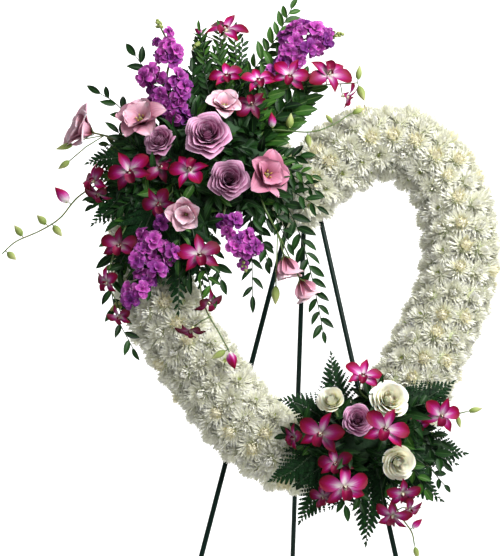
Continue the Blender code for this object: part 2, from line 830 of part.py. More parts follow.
def roses():
    """Three lavender roses above, and three ivory ones round a lavender one below."""
    single_rose(top, "lavender_rose_1", (-0.181, 0.182, 0.158), 0.042, lavender_rose, (0.0, 0.10, 1), 10)
    single_rose(top, "lavender_rose_2", (-0.140, 0.104, 0.148), 0.036, lavender_rose, (0.10, -0.10, 1), 40)
    single_rose(top, "lavender_rose_3", (-0.266, 0.175, 0.137), 0.029, lavender_rose, (-0.35, 0.20, 1), 75)
    single_rose(bottom, "ivory_rose_1", (0.045, -0.281, 0.134), 0.026, ivory_rose, (-0.25, 0.35, 1), 15)
    single_rose(bottom, "ivory_rose_2", (0.146, -0.278, 0.136), 0.035, ivory_rose, (0.15, 0.20, 1), 50)
    single_rose(bottom, "ivory_rose_3", (0.163, -0.386, 0.130), 0.031, ivory_rose, (0.20, -0.25, 1), 85)
    single_rose(bottom, "lavender_rose_4", (0.091, -0.316, 0.146), 0.027, lavender_rose, (0.0, 0.05, 1), 25)


def lisianthuses():
    """The pink lisianthus blooms of the top spray."""
    for n, (at, size, lean, opening, spin) in enumerate((
        ((-0.304, 0.222, 0.126), 0.029, (-0.35, 0.45, 1), 1.0, 20),
        ((-0.153, 0.252, 0.122), 0.024, (0.15, 0.45, 1), 0.9, 50),
        ((-0.070, 0.120, 0.132), 0.033, (0.55, 0.05, 1), 1.0, 10),
        ((-0.214, 0.038, 0.148), 0.029, (-0.15, -0.35, 1), 0.9, 30),
    )):
        frame = facing(spot(*at), spot(*lean), spin)
        pieces = lisianthus(frame, size, opening)
        pieces.append(rod(top.stem(frame @ Vector((0, 0, -0.5 * size))), STEM_RADIUS))
        fuse(f"lisianthus_{n + 1}", pieces, pink_lisianthus)
    head = spot(-0.413, 0.206, 0.095)
    frame = facing(head, spot(-1.0, 0.05, 0.35), 15)
    pieces = lisianthus(frame, 0.030, 0.75)
    fork = spot(-0.368, 0.196, 0.092)
    pieces.append(rod(top.stem(frame @ Vector((0, 0, -0.015)), through=[fork], out=0.100), STEM_RADIUS))
    for tip in (spot(-0.456, 0.168, 0.090), spot(-0.450, 0.132, 0.086)):
        pieces.append(bud(fork, tip, 0.014, 0.7))
    fuse("lisianthus_5", pieces, pink_lisianthus)
    fork = spot(-0.052, 0.020, 0.106)
    pieces = [rod(top.stem(fork, out=0.104, through=[spot(-0.075, 0.060, 0.112)]), STEM_RADIUS)]
    for at, size, opening in (((-0.034, -0.040, 0.098), 0.024, 0.62), ((-0.002, -0.077, 0.088), 0.021, 0.55)):
        place = spot(*at)
        frame = facing(place, place - fork, 20)
        pieces += lisianthus(frame, size, opening)
        pieces.append(rod([fork, frame @ Vector((0, 0, -0.4 * size))], 0.0014))
    pieces.append(bud(fork, spot(-0.053, -0.108, 0.088), 0.015, 0.75))
    fuse("lisianthus_6", pieces, pink_lisianthus)


def stocks():
    """The purple stock: two spikes that rise, one that hangs to the lower left, and one by the hole."""
    spikes = (
        (((-0.232, 0.236, 0.108), (-0.258, 0.300, 0.100), (-0.254, 0.360, 0.090), (-0.280, 0.420, 0.078)), 7,
         0.020, 0.26),
        (((-0.100, 0.270, 0.094), (-0.052, 0.350, 0.092), (-0.010, 0.388, 0.092), (0.056, 0.402, 0.086)), 5,
         0.020, 0.50),
        (((-0.250, 0.020, 0.108), (-0.268, -0.030, 0.112), (-0.290, -0.088, 0.106), (-0.338, -0.122, 0.096)), 6,
         0.0188, 0.37),
        (((-0.148, 0.052, 0.108), (-0.128, 0.005, 0.110), (-0.108, -0.045, 0.102)), 4, 0.019, 0.34),
    )
    for n, (line, count, size, start) in enumerate(spikes):
        points = top.stem(spot(*line[-1]), 0.0030, through=[spot(*p) for p in line[:-1]], out=0.098)
        fuse(f"purple_stock_{n + 1}", stock_spike(points, count, size, start), purple_stock)


def orchid_spray(spray, name, line, blooms, buds=(), out=0.100, depth=STEM_STOP):
    """A spray of dendrobium orchids: a stem with blooms on short stalks and buds towards its tip.

    Each bloom is (place, size, facing, spin); each bud is (place, width, length).
    """
    points = spray.stem(spot(*line[-1]), 0.0018, through=[spot(*p) for p in line[:-1]], out=out, depth=depth)
    pieces = [rod(points, 0.0018)]
    marks = [along_line(points, n / 40)[0] for n in range(6, 40)]
    for at, size, lean, spin in blooms:
        frame = facing(spot(*at), spot(*lean), spin)
        back = frame @ Vector((0, 0, -0.30 * size))
        near = min(marks, key=lambda p: (p - back).length)
        local = frame.inverted() @ near
        if local.z < -0.15 * size and local.xy.length < -1.2 * local.z:
            back = near + (near - back).normalized() * 0.0015
        else:
            pieces.append(rod([near, frame @ Vector((0, 0, -0.12 * size))], 0.0012))
        pieces.append(orchid(frame, size, back))
    for at, width, length in buds:
        tip = spot(*at)
        near = min(marks, key=lambda p: (p - tip).length)
        way = tip - near
        if way.length < 0.006:
            way = (points[-1] - points[-2]).normalized() * length
        stalk = max(0.2, 1 - length / max(way.length, length))
        pieces.append(bud(near, near + way, width, stalk))
    return fuse(name, pieces, magenta_orchid)


def top_orchids():
    """The dendrobium sprays of the top spray."""
    out = (0, 0, 1)
    orchid_spray(top, "orchid_spray_1", ((-0.176, 0.300, 0.088), (-0.160, 0.372, 0.082),
                                         (-0.196, 0.398, 0.078)),
                 (((-0.154, 0.406, 0.084), 0.027, (0.1, 1, 0.3), 0),
                  ((-0.150, 0.306, 0.112), 0.024, (-0.3, 0.1, 1), 10)),
                 (((-0.194, 0.392, 0.080), 0.010, 0.024), ((-0.216, 0.364, 0.084), 0.010, 0.024)), out=0.096)
    orchid_spray(top, "orchid_spray_2", ((-0.088, 0.262, 0.104), (-0.040, 0.288, 0.104), (0.020, 0.298, 0.100),
                                         (0.088, 0.306, 0.095)),
                 (((-0.092, 0.296, 0.120), 0.024, (-0.2, 0.2, 1), 5),
                  ((-0.036, 0.306, 0.122), 0.026, (0.1, 0.1, 1), 0),
                  ((0.034, 0.312, 0.118), 0.034, (0.2, 0.1, 1), 0),
                  ((0.068, 0.276, 0.108), 0.020, (1, -0.2, 0.4), 0)),
                 (((0.090, 0.322, 0.095), 0.011, 0.026), ((0.094, 0.290, 0.095), 0.011, 0.026)), out=0.104)
    orchid_spray(top, "orchid_spray_3", ((-0.340, 0.116, 0.108), (-0.405, 0.082, 0.100), (-0.441, 0.041, 0.090),
                                         (-0.477, 0.019, 0.080), (-0.520, 0.000, 0.072),
                                         (-0.545, -0.022, 0.066)),
                 (((-0.316, 0.118, 0.132), 0.031, (-0.2, 0.1, 1), 0),
                  ((-0.380, 0.104, 0.116), 0.028, (-1, 0.1, 0.6), 0)),
                 (((-0.436, 0.076, 0.102), 0.013, 0.034), ((-0.447, 0.020, 0.088), 0.008, 0.020),
                  ((-0.470, 0.034, 0.082), 0.008, 0.020), ((-0.514, 0.016, 0.074), 0.008, 0.020),
                  ((-0.530, -0.024, 0.070), 0.008, 0.020)), out=0.098)
    orchid_spray(top, "orchid_spray_4", ((-0.240, 0.085, 0.126),),
                 (((-0.209, 0.116, 0.156), 0.027, out, 0),
                  ((-0.262, 0.060, 0.138), 0.024, (-0.4, -0.3, 1), 15)),
                 out=0.094)
    orchid_spray(top, "orchid_spray_5", ((-0.196, -0.020, 0.106), (-0.180, -0.110, 0.108),
                                         (-0.150, -0.165, 0.106), (-0.134, -0.192, 0.104)),
                 (((-0.189, -0.029, 0.126), 0.031, (0, -0.2, 1), 0),
                  ((-0.172, -0.112, 0.120), 0.020, (0.2, -0.4, 1), 0),
                  ((-0.200, -0.160, 0.114), 0.022, (-0.2, -0.6, 1), 0)),
                 (((-0.130, -0.201, 0.104), 0.014, 0.028), ((-0.164, -0.208, 0.104), 0.010, 0.024)), out=0.099)
    orchid_spray(top, "orchid_spray_6", ((-0.318, 0.030, 0.108), (-0.345, -0.040, 0.106),
                                         (-0.350, -0.080, 0.104)),
                 (((-0.334, -0.008, 0.125), 0.026, (-0.4, 0, 1), 0),
                  ((-0.362, -0.080, 0.112), 0.020, (-0.8, -0.3, 0.8), 0)),
                 out=0.100)
    orchid_spray(top, "orchid_spray_7", ((-0.071, 0.207, 0.112), (0.000, 0.206, 0.110), (0.040, 0.220, 0.106),
                                         (0.075, 0.245, 0.100)),
                 (), (((-0.066, 0.222, 0.118), 0.013, 0.026), ((-0.034, 0.224, 0.114), 0.012, 0.026),
                      ((0.000, 0.190, 0.110), 0.009, 0.022), ((0.036, 0.234, 0.106), 0.009, 0.022),
                      ((0.082, 0.248, 0.100), 0.011, 0.026)), out=0.106)


def bottom_orchids():
    """The dendrobium sprays of the bottom spray."""
    orchid_spray(bottom, "orchid_spray_8", ((0.050, -0.330, 0.118), (0.000, -0.345, 0.108)),
                 (((0.030, -0.341, 0.142), 0.031, (-0.2, -0.1, 1), 0),
                  ((-0.016, -0.343, 0.116), 0.018, (-0.8, 0, 0.8), 0)),
                 out=0.094)
    orchid_spray(bottom, "orchid_spray_9", ((0.116, -0.330, 0.140),),
                 (((0.137, -0.334, 0.168), 0.031, (0.1, 0, 1), 0),), out=0.094, depth=0.030)
    orchid_spray(bottom, "orchid_spray_10", ((0.066, -0.390, 0.106), (0.068, -0.425, 0.110),
                                             (0.060, -0.452, 0.108)),
                 (((0.070, -0.430, 0.136), 0.033, (0, -0.3, 1), 0),
                  ((0.044, -0.400, 0.122), 0.018, (-0.3, -0.1, 1), 0)),
                 out=0.090)
    orchid_spray(bottom, "orchid_spray_11", ((0.186, -0.312, 0.104), (0.240, -0.302, 0.106),
                                             (0.282, -0.292, 0.104)),
                 (((0.236, -0.302, 0.124), 0.027, (0.4, 0, 1), 0),
                  ((0.198, -0.318, 0.108), 0.016, (0, -0.4, 1), 20)),
                 (((0.286, -0.291, 0.104), 0.010, 0.028), ((0.270, -0.312, 0.104), 0.009, 0.024)), out=0.090)
    orchid_spray(bottom, "orchid_spray_12", ((0.150, -0.430, 0.104), (0.166, -0.470, 0.106),
                                             (0.188, -0.500, 0.100),
                                             (0.194, -0.522, 0.095)),
                 (((0.172, -0.440, 0.124), 0.019, (0.3, -0.4, 1), 0),
                  ((0.156, -0.474, 0.116), 0.020, (-0.3, -0.4, 1), 0)),
                 (((0.194, -0.490, 0.104), 0.012, 0.026), ((0.196, -0.526, 0.095), 0.010, 0.024)), out=0.092)
    orchid_spray(bottom, "orchid_spray_13", ((0.098, -0.262, 0.108), (0.100, -0.236, 0.108)),
                 (((0.101, -0.236, 0.122), 0.022, (0, 0.5, 1), 0),), out=0.092)


def bunch(spray, name, middle, stems):
    """A bunch of leafy stems and fronds that meet at a place in the spray's foam.

    Each stem is (kind, places, and the numbers that the kind takes).
    """
    root = spray.spine[middle].copy()
    root.y = -LEAF_OUT
    half = Vector((1, 1, 1)) * LEAF_KNOT
    wide = half + Vector((1, 1, 1)) * GAP
    pieces = [box(root - half, root + half)]
    spray.holes.append(box(root - wide, root + wide))
    for kind, places, *numbers in stems:
        line = [root, *(spot(*p) for p in places)]
        way = (line[1] - root).normalized()
        line.insert(1, root + way * LEAF_FOOT)
        spray.hole(root, line[1], 0.0024)
        pieces.append(kind(line, *numbers))
    return fuse(name, pieces, green_leaf)


def foliage():
    """Leafy stems and fern fronds round the flowers, in bunches joined where their stems meet in the foam."""
    bunch(top, "leaves_upper", 5, (
        (leafy_stem, ((-0.138, 0.262, 0.074), (-0.104, 0.330, 0.066), (-0.062, 0.400, 0.060),
                      (-0.033, 0.462, 0.060)),
         9, 0.036, 0.014, 0.38),
        (leafy_stem, ((-0.176, 0.262, 0.072), (-0.206, 0.320, 0.064), (-0.196, 0.388, 0.060)), 8, 0.030, 0.010,
         0.38),
        (leafy_stem, ((-0.222, 0.262, 0.070), (-0.290, 0.322, 0.062), (-0.322, 0.362, 0.060)), 4, 0.040, 0.016,
         0.5),
    ))
    bunch(top, "leaves_left", 0, (
        (leafy_stem, ((-0.300, 0.205, 0.076), (-0.350, 0.262, 0.070), (-0.383, 0.283, 0.070)), 4, 0.036, 0.013,
         0.5),
        (frond, ((-0.310, 0.162, 0.082), (-0.360, 0.158, 0.076), (-0.400, 0.148, 0.072)), 0.062, 6, 0.45),
        (frond, ((-0.318, 0.100, 0.106), (-0.352, 0.060, 0.098), (-0.384, 0.030, 0.086)), 0.070, 6, 0.45),
        (leafy_stem, ((-0.318, 0.060, 0.102), (-0.343, -0.030, 0.090), (-0.338, -0.120, 0.086),
                      (-0.300, -0.196, 0.088)),
         8, 0.036, 0.013, 0.36),
    ))
    bunch(top, "leaves_lower", 1, (
        (frond, ((-0.2235, 0.036, 0.106), (-0.2240, -0.050, 0.108), (-0.2235, -0.136, 0.106)), 0.075, 6, 0.55),
    ))
    bunch(top, "leaves_right", 8, (
        (leafy_stem, ((-0.070, 0.110, 0.100), (-0.030, 0.060, 0.094), (-0.004, 0.000, 0.084),
                      (0.018, -0.080, 0.074),
                      (0.034, -0.155, 0.070)), 10, 0.034, 0.014, 0.40),
    ))
    bunch(bottom, "ferns_left", 7, (
        (frond, ((0.030, -0.306, 0.100), (-0.010, -0.286, 0.110), (-0.042, -0.280, 0.110)), 0.062, 6, 0.4),
        (frond, ((0.060, -0.270, 0.098), (0.050, -0.230, 0.100), (0.046, -0.192, 0.096)), 0.062, 6, 0.4),
        (frond, ((0.016, -0.374, 0.110), (-0.020, -0.404, 0.110), (-0.056, -0.420, 0.104)), 0.070, 6, 0.45),
        (frond, ((0.040, -0.425, 0.100), (0.014, -0.460, 0.094), (-0.004, -0.490, 0.088)), 0.070, 6, 0.4),
    ))
    bunch(bottom, "ferns_right", 2, (
        (frond, ((0.184, -0.290, 0.104), (0.226, -0.262, 0.108), (0.260, -0.240, 0.104)), 0.070, 6, 0.4),
        (frond, ((0.195, -0.345, 0.092), (0.240, -0.356, 0.086), (0.284, -0.362, 0.082)), 0.080, 6, 0.4),
        (frond, ((0.180, -0.390, 0.090), (0.216, -0.425, 0.084), (0.244, -0.445, 0.080)), 0.070, 6, 0.4),
        (frond, ((0.120, -0.400, 0.090), (0.116, -0.470, 0.082), (0.112, -0.524, 0.076)), 0.075, 6, 0.4),
    ))


def easel():
    """The folding easel: two front legs in a head block, and a rear leg on a pin behind it."""
    paint = finish("green_paint", GREEN_PAINT, 0.35, 0.3)
    steel = finish("bright_pin", (0.55, 0.56, 0.57), 0.3, 1.0)
    rubber = finish("black_rubber", (0.02, 0.02, 0.02), 0.8)
    to_plane = plane_frame.inverted()
    leg_meshes = {}
    for label, side in (("left", -1), ("right", 1)):
        top_end = spot(side * (LEG_CROSSING - LEG_TOP) * LEG_SPREAD, LEG_TOP, LEG_OUT)
        low_z = LEG_CROSSING - 2.0
        low_end = spot(side * (LEG_CROSSING - low_z) * LEG_SPREAD, low_z, LEG_OUT)
        high, low = plane_frame @ top_end, plane_frame @ low_end
        share = (high.z - 0.005) / (high.z - low.z)
        leg_meshes[label] = (high, high.lerp(low, share))
    pivot = plane_frame @ spot(0.0, PIVOT_Z, PIVOT_OUT)
    rear_way = Vector((0.0, math.sin(REAR_LEAN), -math.cos(REAR_LEAN)))
    leg_meshes["rear"] = (pivot, pivot + rear_way * ((pivot.z - 0.005) / math.cos(REAR_LEAN)))
    inside_eye = bar_across(pivot, 0.0085, 0.019)
    pin_hole = bar_across(pivot, PIN_RADIUS + GAP, 0.060)
    for label, (high, low) in leg_meshes.items():
        pieces = [rod([high, low], LEG_RADIUS, 3)]
        cuts = []
        if label == "rear":
            pieces.append(inside_eye)
            cuts.append(pin_hole)
        fuse(f"easel_{label}_leg", pieces, paint, None, cuts=cuts)
        way = (low - high).normalized()
        build = bmesh.new()
        bmesh.ops.create_cone(
            build, cap_ends=True, segments=12, radius1=FOOT_RADIUS, radius2=FOOT_RADIUS * 0.85, depth=0.06
        )
        turn = (-way).to_track_quat("Z", "Y").to_matrix().to_4x4()
        floor_point = high + way * (high.z / -way.z)
        middle = floor_point - way * (FOOT_LENGTH - 0.03)
        bmesh.ops.transform(build, verts=build.verts, matrix=Matrix.Translation(middle) @ turn)
        geometry = [*build.verts, *build.edges, *build.faces]
        bmesh.ops.bisect_plane(build, geom=geometry, plane_co=(0, 0, 0), plane_no=(0, 0, -1), clear_outer=True)
        bmesh.ops.holes_fill(build, edges=build.edges)
        bmesh.ops.recalc_face_normals(build, faces=build.faces)
        socket = rod([high, low + way * GAP], LEG_RADIUS + GAP, 3)
        fuse(f"easel_{label}_foot", [mesh_of(build)], rubber, None, cuts=[socket])

    def block(x, z, out, half_x, half_z, half_out):
        return box(spot(x - half_x, z - half_z, out + half_out), spot(x + half_x, z + half_z, out - half_out))

    pieces = [block(0.0, 0.137, LEG_OUT, 0.027, 0.029, 0.0085)]
    for side in (-1, 1):
        pieces.append(block(side * 0.0125, PIVOT_Z, -0.0275, 0.002, 0.015, 0.0105))
    hook = [spot(0, 0.120, -0.008), spot(0, 0.120, 0.010), spot(0, 0.140, 0.010)]
    pieces.append(rod(hook, 0.0030, 1))
    cuts = []
    for label in ("left", "right"):
        high, low = (to_plane @ p for p in leg_meshes[label])
        way = (low - high).normalized()
        cuts.append(rod([high - way * GAP, low], LEG_RADIUS + GAP, 3))
    cuts.append(bar_across(spot(0, PIVOT_Z, PIVOT_OUT), PIN_RADIUS + GAP, 0.060))
    fuse("easel_head", pieces, paint, cuts=cuts)
    pin = [bar_across(pivot, PIN_RADIUS, 0.0340)]
    for side in (-1, 1):
        pin.append(bar_across(pivot + Vector((side * 0.0170, 0, 0)), 0.0055, 0.0036))
    fuse("easel_pin", pin, steel, None)


def heart_form():
    """The foam heart on its board, with a slot and a pocket at the notch for the easel's hook."""
    green_foam = finish("green_foam", (0.08, 0.20, 0.09), 0.95)
    board = finish("pale_board", (0.75, 0.75, 0.72), 0.7)
    slot = box(spot(-0.0060, 0.112, BOARD_DEPTH + 0.002), spot(0.0060, 0.129, -0.002))
    pocket = box(spot(-0.0060, 0.112, 0.0160), spot(0.0060, 0.148, BOARD_DEPTH - 0.001))
    fuse("heart_foam", [looped(foam_section)], green_foam, cuts=[pocket])
    fuse("back_board", [looped(board_section)], board, cuts=[slot])
    top.foam(green_foam)
    bottom.foam(green_foam)


easel()
chrysanthemums()
roses()
lisianthuses()
stocks()
top_orchids()
bottom_orchids()
foliage()
heart_form()
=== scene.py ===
# %% [markdown]
# # A funeral wreath on a folding easel
#
# The wreath is an open heart of white chrysanthemums. A large spray of roses, lisianthus, stock and orchids
# hangs over its upper left, and a smaller one sits at its lower right. The packed model is the frame: it
# says where every bloom, stem and rod is. This script grows the petals and leaves in those places.
#
# Nearly every piece is the same thing, a thin grid of points, so the lesson is mostly about one formula:
# how a blade starts at a root, leaves in a direction, widens, bends and cups.

# %% Load the frame
import json
import math

import bpy
import numpy as np
from mathutils import Matrix, Vector

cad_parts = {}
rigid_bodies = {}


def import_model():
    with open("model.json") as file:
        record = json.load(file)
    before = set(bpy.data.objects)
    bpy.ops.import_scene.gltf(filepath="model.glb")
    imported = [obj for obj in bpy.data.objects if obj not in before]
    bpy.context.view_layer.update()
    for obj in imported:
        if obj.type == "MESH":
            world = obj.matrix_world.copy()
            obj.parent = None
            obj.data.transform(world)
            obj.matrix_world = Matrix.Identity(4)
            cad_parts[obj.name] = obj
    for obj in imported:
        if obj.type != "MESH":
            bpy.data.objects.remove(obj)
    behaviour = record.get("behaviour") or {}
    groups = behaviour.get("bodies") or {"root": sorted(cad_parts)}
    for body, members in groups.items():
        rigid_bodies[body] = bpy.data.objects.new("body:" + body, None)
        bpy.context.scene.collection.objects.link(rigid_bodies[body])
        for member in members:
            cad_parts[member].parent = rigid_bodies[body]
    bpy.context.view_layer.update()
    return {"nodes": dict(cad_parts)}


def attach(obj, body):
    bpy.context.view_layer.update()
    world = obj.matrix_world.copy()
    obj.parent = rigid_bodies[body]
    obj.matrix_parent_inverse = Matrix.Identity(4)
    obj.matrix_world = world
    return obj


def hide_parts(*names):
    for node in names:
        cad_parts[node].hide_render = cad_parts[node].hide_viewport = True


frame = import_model()
dice = np.random.default_rng(24)
print("the frame has", len(frame["nodes"]), "nodes")

# %% [markdown]
# ## The plane of the heart
#
# The heart and the two front legs lie in one plane that leans back by 12 degrees. Every place below is
# written as spot(x, z, out): x to the right, z up the plane, and out from the heart's back towards the
# onlooker. Places could be written in the room's own axes, but then the lean would be in every number. Here
# it is applied once, when a piece is built.

# %% The plane of the heart
LEAN = math.radians(12)
STAND_X, STAND_Y, PLANE_LIFT = 0.095, -0.1118, 1.2185046
PLANE = Matrix.Translation((STAND_X, STAND_Y, PLANE_LIFT)) @ Matrix.Rotation(-LEAN, 4, "X")
HEART_SERIES = (0.2675, -0.0815, -0.0220, -0.0500, -0.0070, -0.0132)
HEART_TILT = math.radians(6.1)
HEART_UP = 0.014
TILES = 24
BED_HALF, BED_RISE, BED_MIDDLE = 0.050, 0.044, 0.016


def spot(x, z, out):
    """A place in the leaning plane, before the plane is put in its own place."""
    return Vector((x, -out, z))


def heart_stations():
    """24 places at equal steps along the heart's line, with the outward direction at each.

    The line is r(a) = sum of HEART_SERIES[n] * cos(n * a), a being the angle from the notch.
    """
    fine = 960
    angle = np.arange(fine) * math.tau / fine
    radius = sum(size * np.cos(n * angle) for n, size in enumerate(HEART_SERIES))
    line = np.stack([np.sin(angle) * radius, np.cos(angle) * radius], axis=1)
    steps = np.linalg.norm(np.roll(line, -1, axis=0) - line, axis=1)
    ends = np.cumsum(steps)
    goals = ends[-1] * np.arange(TILES) / TILES
    places = line[np.searchsorted(ends, goals, side="right")]
    ahead = np.roll(places, -1, axis=0) - np.roll(places, 1, axis=0)
    side = np.stack([-ahead[:, 1], ahead[:, 0]], axis=1)
    side /= np.linalg.norm(side, axis=1)[:, None]
    outward = np.roll(side, 1, axis=0) + 2 * side + np.roll(side, -1, axis=0)
    outward /= np.linalg.norm(outward, axis=1)[:, None]
    c, s = math.cos(HEART_TILT), math.sin(HEART_TILT)
    tilt = np.array([[c, -s], [s, c]])
    return places @ tilt.T + (0, HEART_UP), outward @ tilt.T


station_places, station_ways = heart_stations()


def on_ring(tile, across, out):
    """A place by its tile number along the heart, its way across from the line, and out."""
    whole = int(math.floor(tile))
    share = tile - whole
    ends = []
    for n in (whole % TILES, (whole + 1) % TILES):
        x, z = station_places[n] + station_ways[n] * across
        ends.append(spot(x, z, out))
    return ends[0].lerp(ends[1], share)


def on_bed(tile, angle, rise):
    """A place on the bed of the heads; the angle is 0 on its crown and 90 degrees on its outer side.

    It is (BED_HALF + rise) * sin(angle) across and BED_MIDDLE + (BED_RISE + rise) * cos(angle) out.
    """
    across = (BED_HALF + rise) * math.sin(angle)
    return on_ring(tile, across, BED_MIDDLE + (BED_RISE + rise) * math.cos(angle))


print("the heart is", round(float(np.ptp(station_places[:, 0])) * 1000), "mm across its line")

# %% [markdown]
# ## Piles of grids
#
# A pile collects grids and tubes and becomes one mesh. Hundreds of petals could be objects of their own,
# but each piece stands for one node of the frame, and whole arrays are much quicker than a loop over
# points. Each point keeps three numbers for its material: how far along its blade it is, how far across,
# and a shade that is the same all over the blade.

# %% Piles of grids
POINT = 0.00002


def unit(v):
    """Rows of vectors at length one."""
    return v / np.maximum(np.linalg.norm(v, axis=-1, keepdims=True), 1e-12)


def rings(one, two, sides):
    """Circles round n axes: cos(a) * one + sin(a) * two, at equal steps of a."""
    angle = np.arange(sides) * math.tau / sides
    return np.cos(angle)[None, :, None] * one[:, None, :] + np.sin(angle)[None, :, None] * two[:, None, :]


class Pile:
    """Grids of points that become one mesh."""

    def __init__(self):
        self.points, self.faces, self.slots = [], [], []
        self.along, self.across, self.shade = [], [], []
        self.count = 0

    def grids(self, points, slot=0, shade=0.5, wrap=False):
        """Adds n grids of rows by columns; wrap joins the last column to the first."""
        points = np.asarray(points, float)
        n, rows, columns, _ = points.shape
        v = np.linspace(0, 1, rows)
        u = np.linspace(-1, 1, columns)
        self.points.append(points.reshape(-1, 3))
        self.along.append(np.broadcast_to(v[None, :, None], (n, rows, columns)).ravel())
        self.across.append(np.broadcast_to(u[None, None, :], (n, rows, columns)).ravel())
        shade = np.broadcast_to(np.asarray(shade, float).reshape(-1, 1, 1), (n, rows, columns))
        self.shade.append(shade.ravel())
        row = np.arange(rows - 1)[:, None] * columns
        column = np.arange(columns if wrap else columns - 1)[None, :]
        after = (column + 1) % columns
        quad = np.stack([row + column, row + after, row + columns + after, row + columns + column], axis=-1)
        quad = quad.reshape(1, -1, 4) + (np.arange(n) * rows * columns)[:, None, None] + self.count
        self.faces.append(quad.reshape(-1, 4))
        self.slots.append(np.full(n * quad.shape[1], slot, np.int32))
        self.count += n * rows * columns

    def tube(self, path, radius, sides=8, slot=1):
        """Adds a round tube, a ring times the radius round each place, drawn to a point at its ends."""
        path = np.asarray([tuple(p) for p in path], float)
        radius = np.broadcast_to(np.asarray(radius, float), (len(path),))
        path = np.vstack([path[:1], path, path[-1:]])
        radius = np.concatenate([[POINT], radius, [POINT]])
        way = np.gradient(path, axis=0)
        way[np.linalg.norm(way, axis=1) < 1e-9] = path[-1] - path[0]
        way = unit(way)
        helper = np.eye(3)[np.argmin(np.abs(way).mean(axis=0))]
        one = unit(np.cross(way, helper))
        ring = rings(one, np.cross(way, one), sides)
        self.grids((path[:, None, :] + ring * radius[:, None, None])[None], slot, wrap=True)

    def build(self, name, nodes, materials, slot, body="wreath"):
        """The mesh object, in the plane's place, standing for CAD nodes."""
        points = np.concatenate(self.points)
        place = np.array(PLANE)
        points = points @ place[:3, :3].T + place[:3, 3]
        faces = np.concatenate(self.faces).astype(np.int32)
        mesh = bpy.data.meshes.new(name)
        mesh.vertices.add(len(points))
        mesh.vertices.foreach_set("co", points.astype(np.float32).ravel())
        mesh.loops.add(faces.size)
        mesh.loops.foreach_set("vertex_index", faces.ravel())
        mesh.polygons.add(len(faces))
        mesh.polygons.foreach_set("loop_start", np.arange(0, faces.size, 4, dtype=np.int32))
        mesh.polygons.foreach_set("material_index", np.concatenate(self.slots))
        mesh.polygons.foreach_set("use_smooth", np.ones(len(faces), bool))
        for label, values in (("along", self.along), ("across", self.across), ("shade", self.shade)):
            kept = mesh.attributes.new(label, "FLOAT", "POINT")
            kept.data.foreach_set("value", np.concatenate(values).astype(np.float32))
        mesh.update(calc_edges=True)
        for material in materials:
            mesh.materials.append(material)
        piece = bpy.data.objects.new(name, mesh)
        bpy.context.scene.collection.objects.link(piece)
        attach(piece, body)
        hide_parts(*nodes)
        print(f"{name}: {len(faces)} faces")
        return piece


print("a pile keeps", ", ".join(vars(Pile())))

# %% [markdown]
# ## Paths of stems
#
# A stem is a round tube along a smooth curve through a few chosen places. A Bezier curve could carry it,
# but its handles would have to be set at every place. A Catmull-Rom curve needs only the places, and goes
# through each of them.

# %% Paths of stems
def smooth_path(points, steps=8):
    """Close places along a smooth curve through the points (Catmull-Rom).

    From b to c, with a before and d after them, a place is half of
    2 b + (c - a) * t + (2 a - 5 b + 4 c - d) * t^2 + (3 b - a - 3 c + d) * t^3.
    """
    p = np.asarray([tuple(q) for q in points], float)
    p = np.vstack([2 * p[0] - p[1], p, 2 * p[-1] - p[-2]])
    t = (np.arange(steps) / steps)[:, None]
    pieces = []
    for a, b, c, d in zip(p, p[1:], p[2:], p[3:]):
        square, cube = 2 * a - 5 * b + 4 * c - d, 3 * b - a - 3 * c + d
        pieces.append((2 * b + (c - a) * t + square * t ** 2 + cube * t ** 3) / 2)
    return np.vstack([*pieces, p[-2:-1]])


def along_path(path, shares):
    """Places and directions at shares of a path's length."""
    path = np.asarray(path, float)
    steps = np.linalg.norm(np.diff(path, axis=0), axis=1)
    ends = np.concatenate([[0], np.cumsum(steps)]) / steps.sum()
    shares = np.atleast_1d(shares)
    places = np.stack([np.interp(shares, ends, path[:, n]) for n in range(3)], axis=1)
    index = np.clip(np.searchsorted(ends, shares, side="right") - 1, 0, len(steps) - 1)
    return places, unit(np.diff(path, axis=0)[index])


print("a smooth path through 3 places has", len(smooth_path(np.eye(3))), "places")

# %% [markdown]
# ## Outlines of blades
#
# A leaf or petal is told by its outline, so each kind has one: its share of the full width at v, from 0 at
# its root to 1 at its tip. An outline could be drawn as a curve, but a sine with a rounded end says it in
# one line. A strap is nearly even, a leaf is pointed at both ends, and a fan or tulip is widest near its
# rim.

# %% Outlines of blades
def closing(v, end, share, power):
    """Closes a width towards the end of its blade: (end - v) / share, from 0 to 1, to a power."""
    return np.clip((end - v) / share, 0, 1) ** power


def opening_out(v, widest):
    """A width that grows from a fifth to the whole: 0.2 + 0.8 * sin(pi / 2 * v / widest)^1.2."""
    return 0.20 + 0.80 * np.sin(np.pi / 2 * np.clip(v / widest, 0, 1)) ** 1.2


SHAPES = {
    "strap": lambda v: (0.62 + 0.38 * np.sin(np.pi * v * 0.8 + 0.3)) * closing(v, 1.015, 0.16, 0.45),
    "leaf": lambda v: np.sin(np.pi * v ** 0.85) ** 0.9 + 0.04 * (1 - v),
    "sepal": lambda v: (0.34 + 0.66 * np.sin(np.pi * v ** 0.95)) * closing(v, 1.002, 0.38, 0.55),
    "fan": lambda v: opening_out(v, 0.66) * closing(v, 1.003, 0.34, 0.42),
    "tulip": lambda v: opening_out(v, 0.60) * closing(v, 1.003, 0.42, 0.52),
    "pinnule": lambda v: (0.80 + 0.20 * np.sin(np.pi * v)) * closing(v, 1.002, 0.6, 0.6),
}
print("a blade can be a", ", ".join(SHAPES))

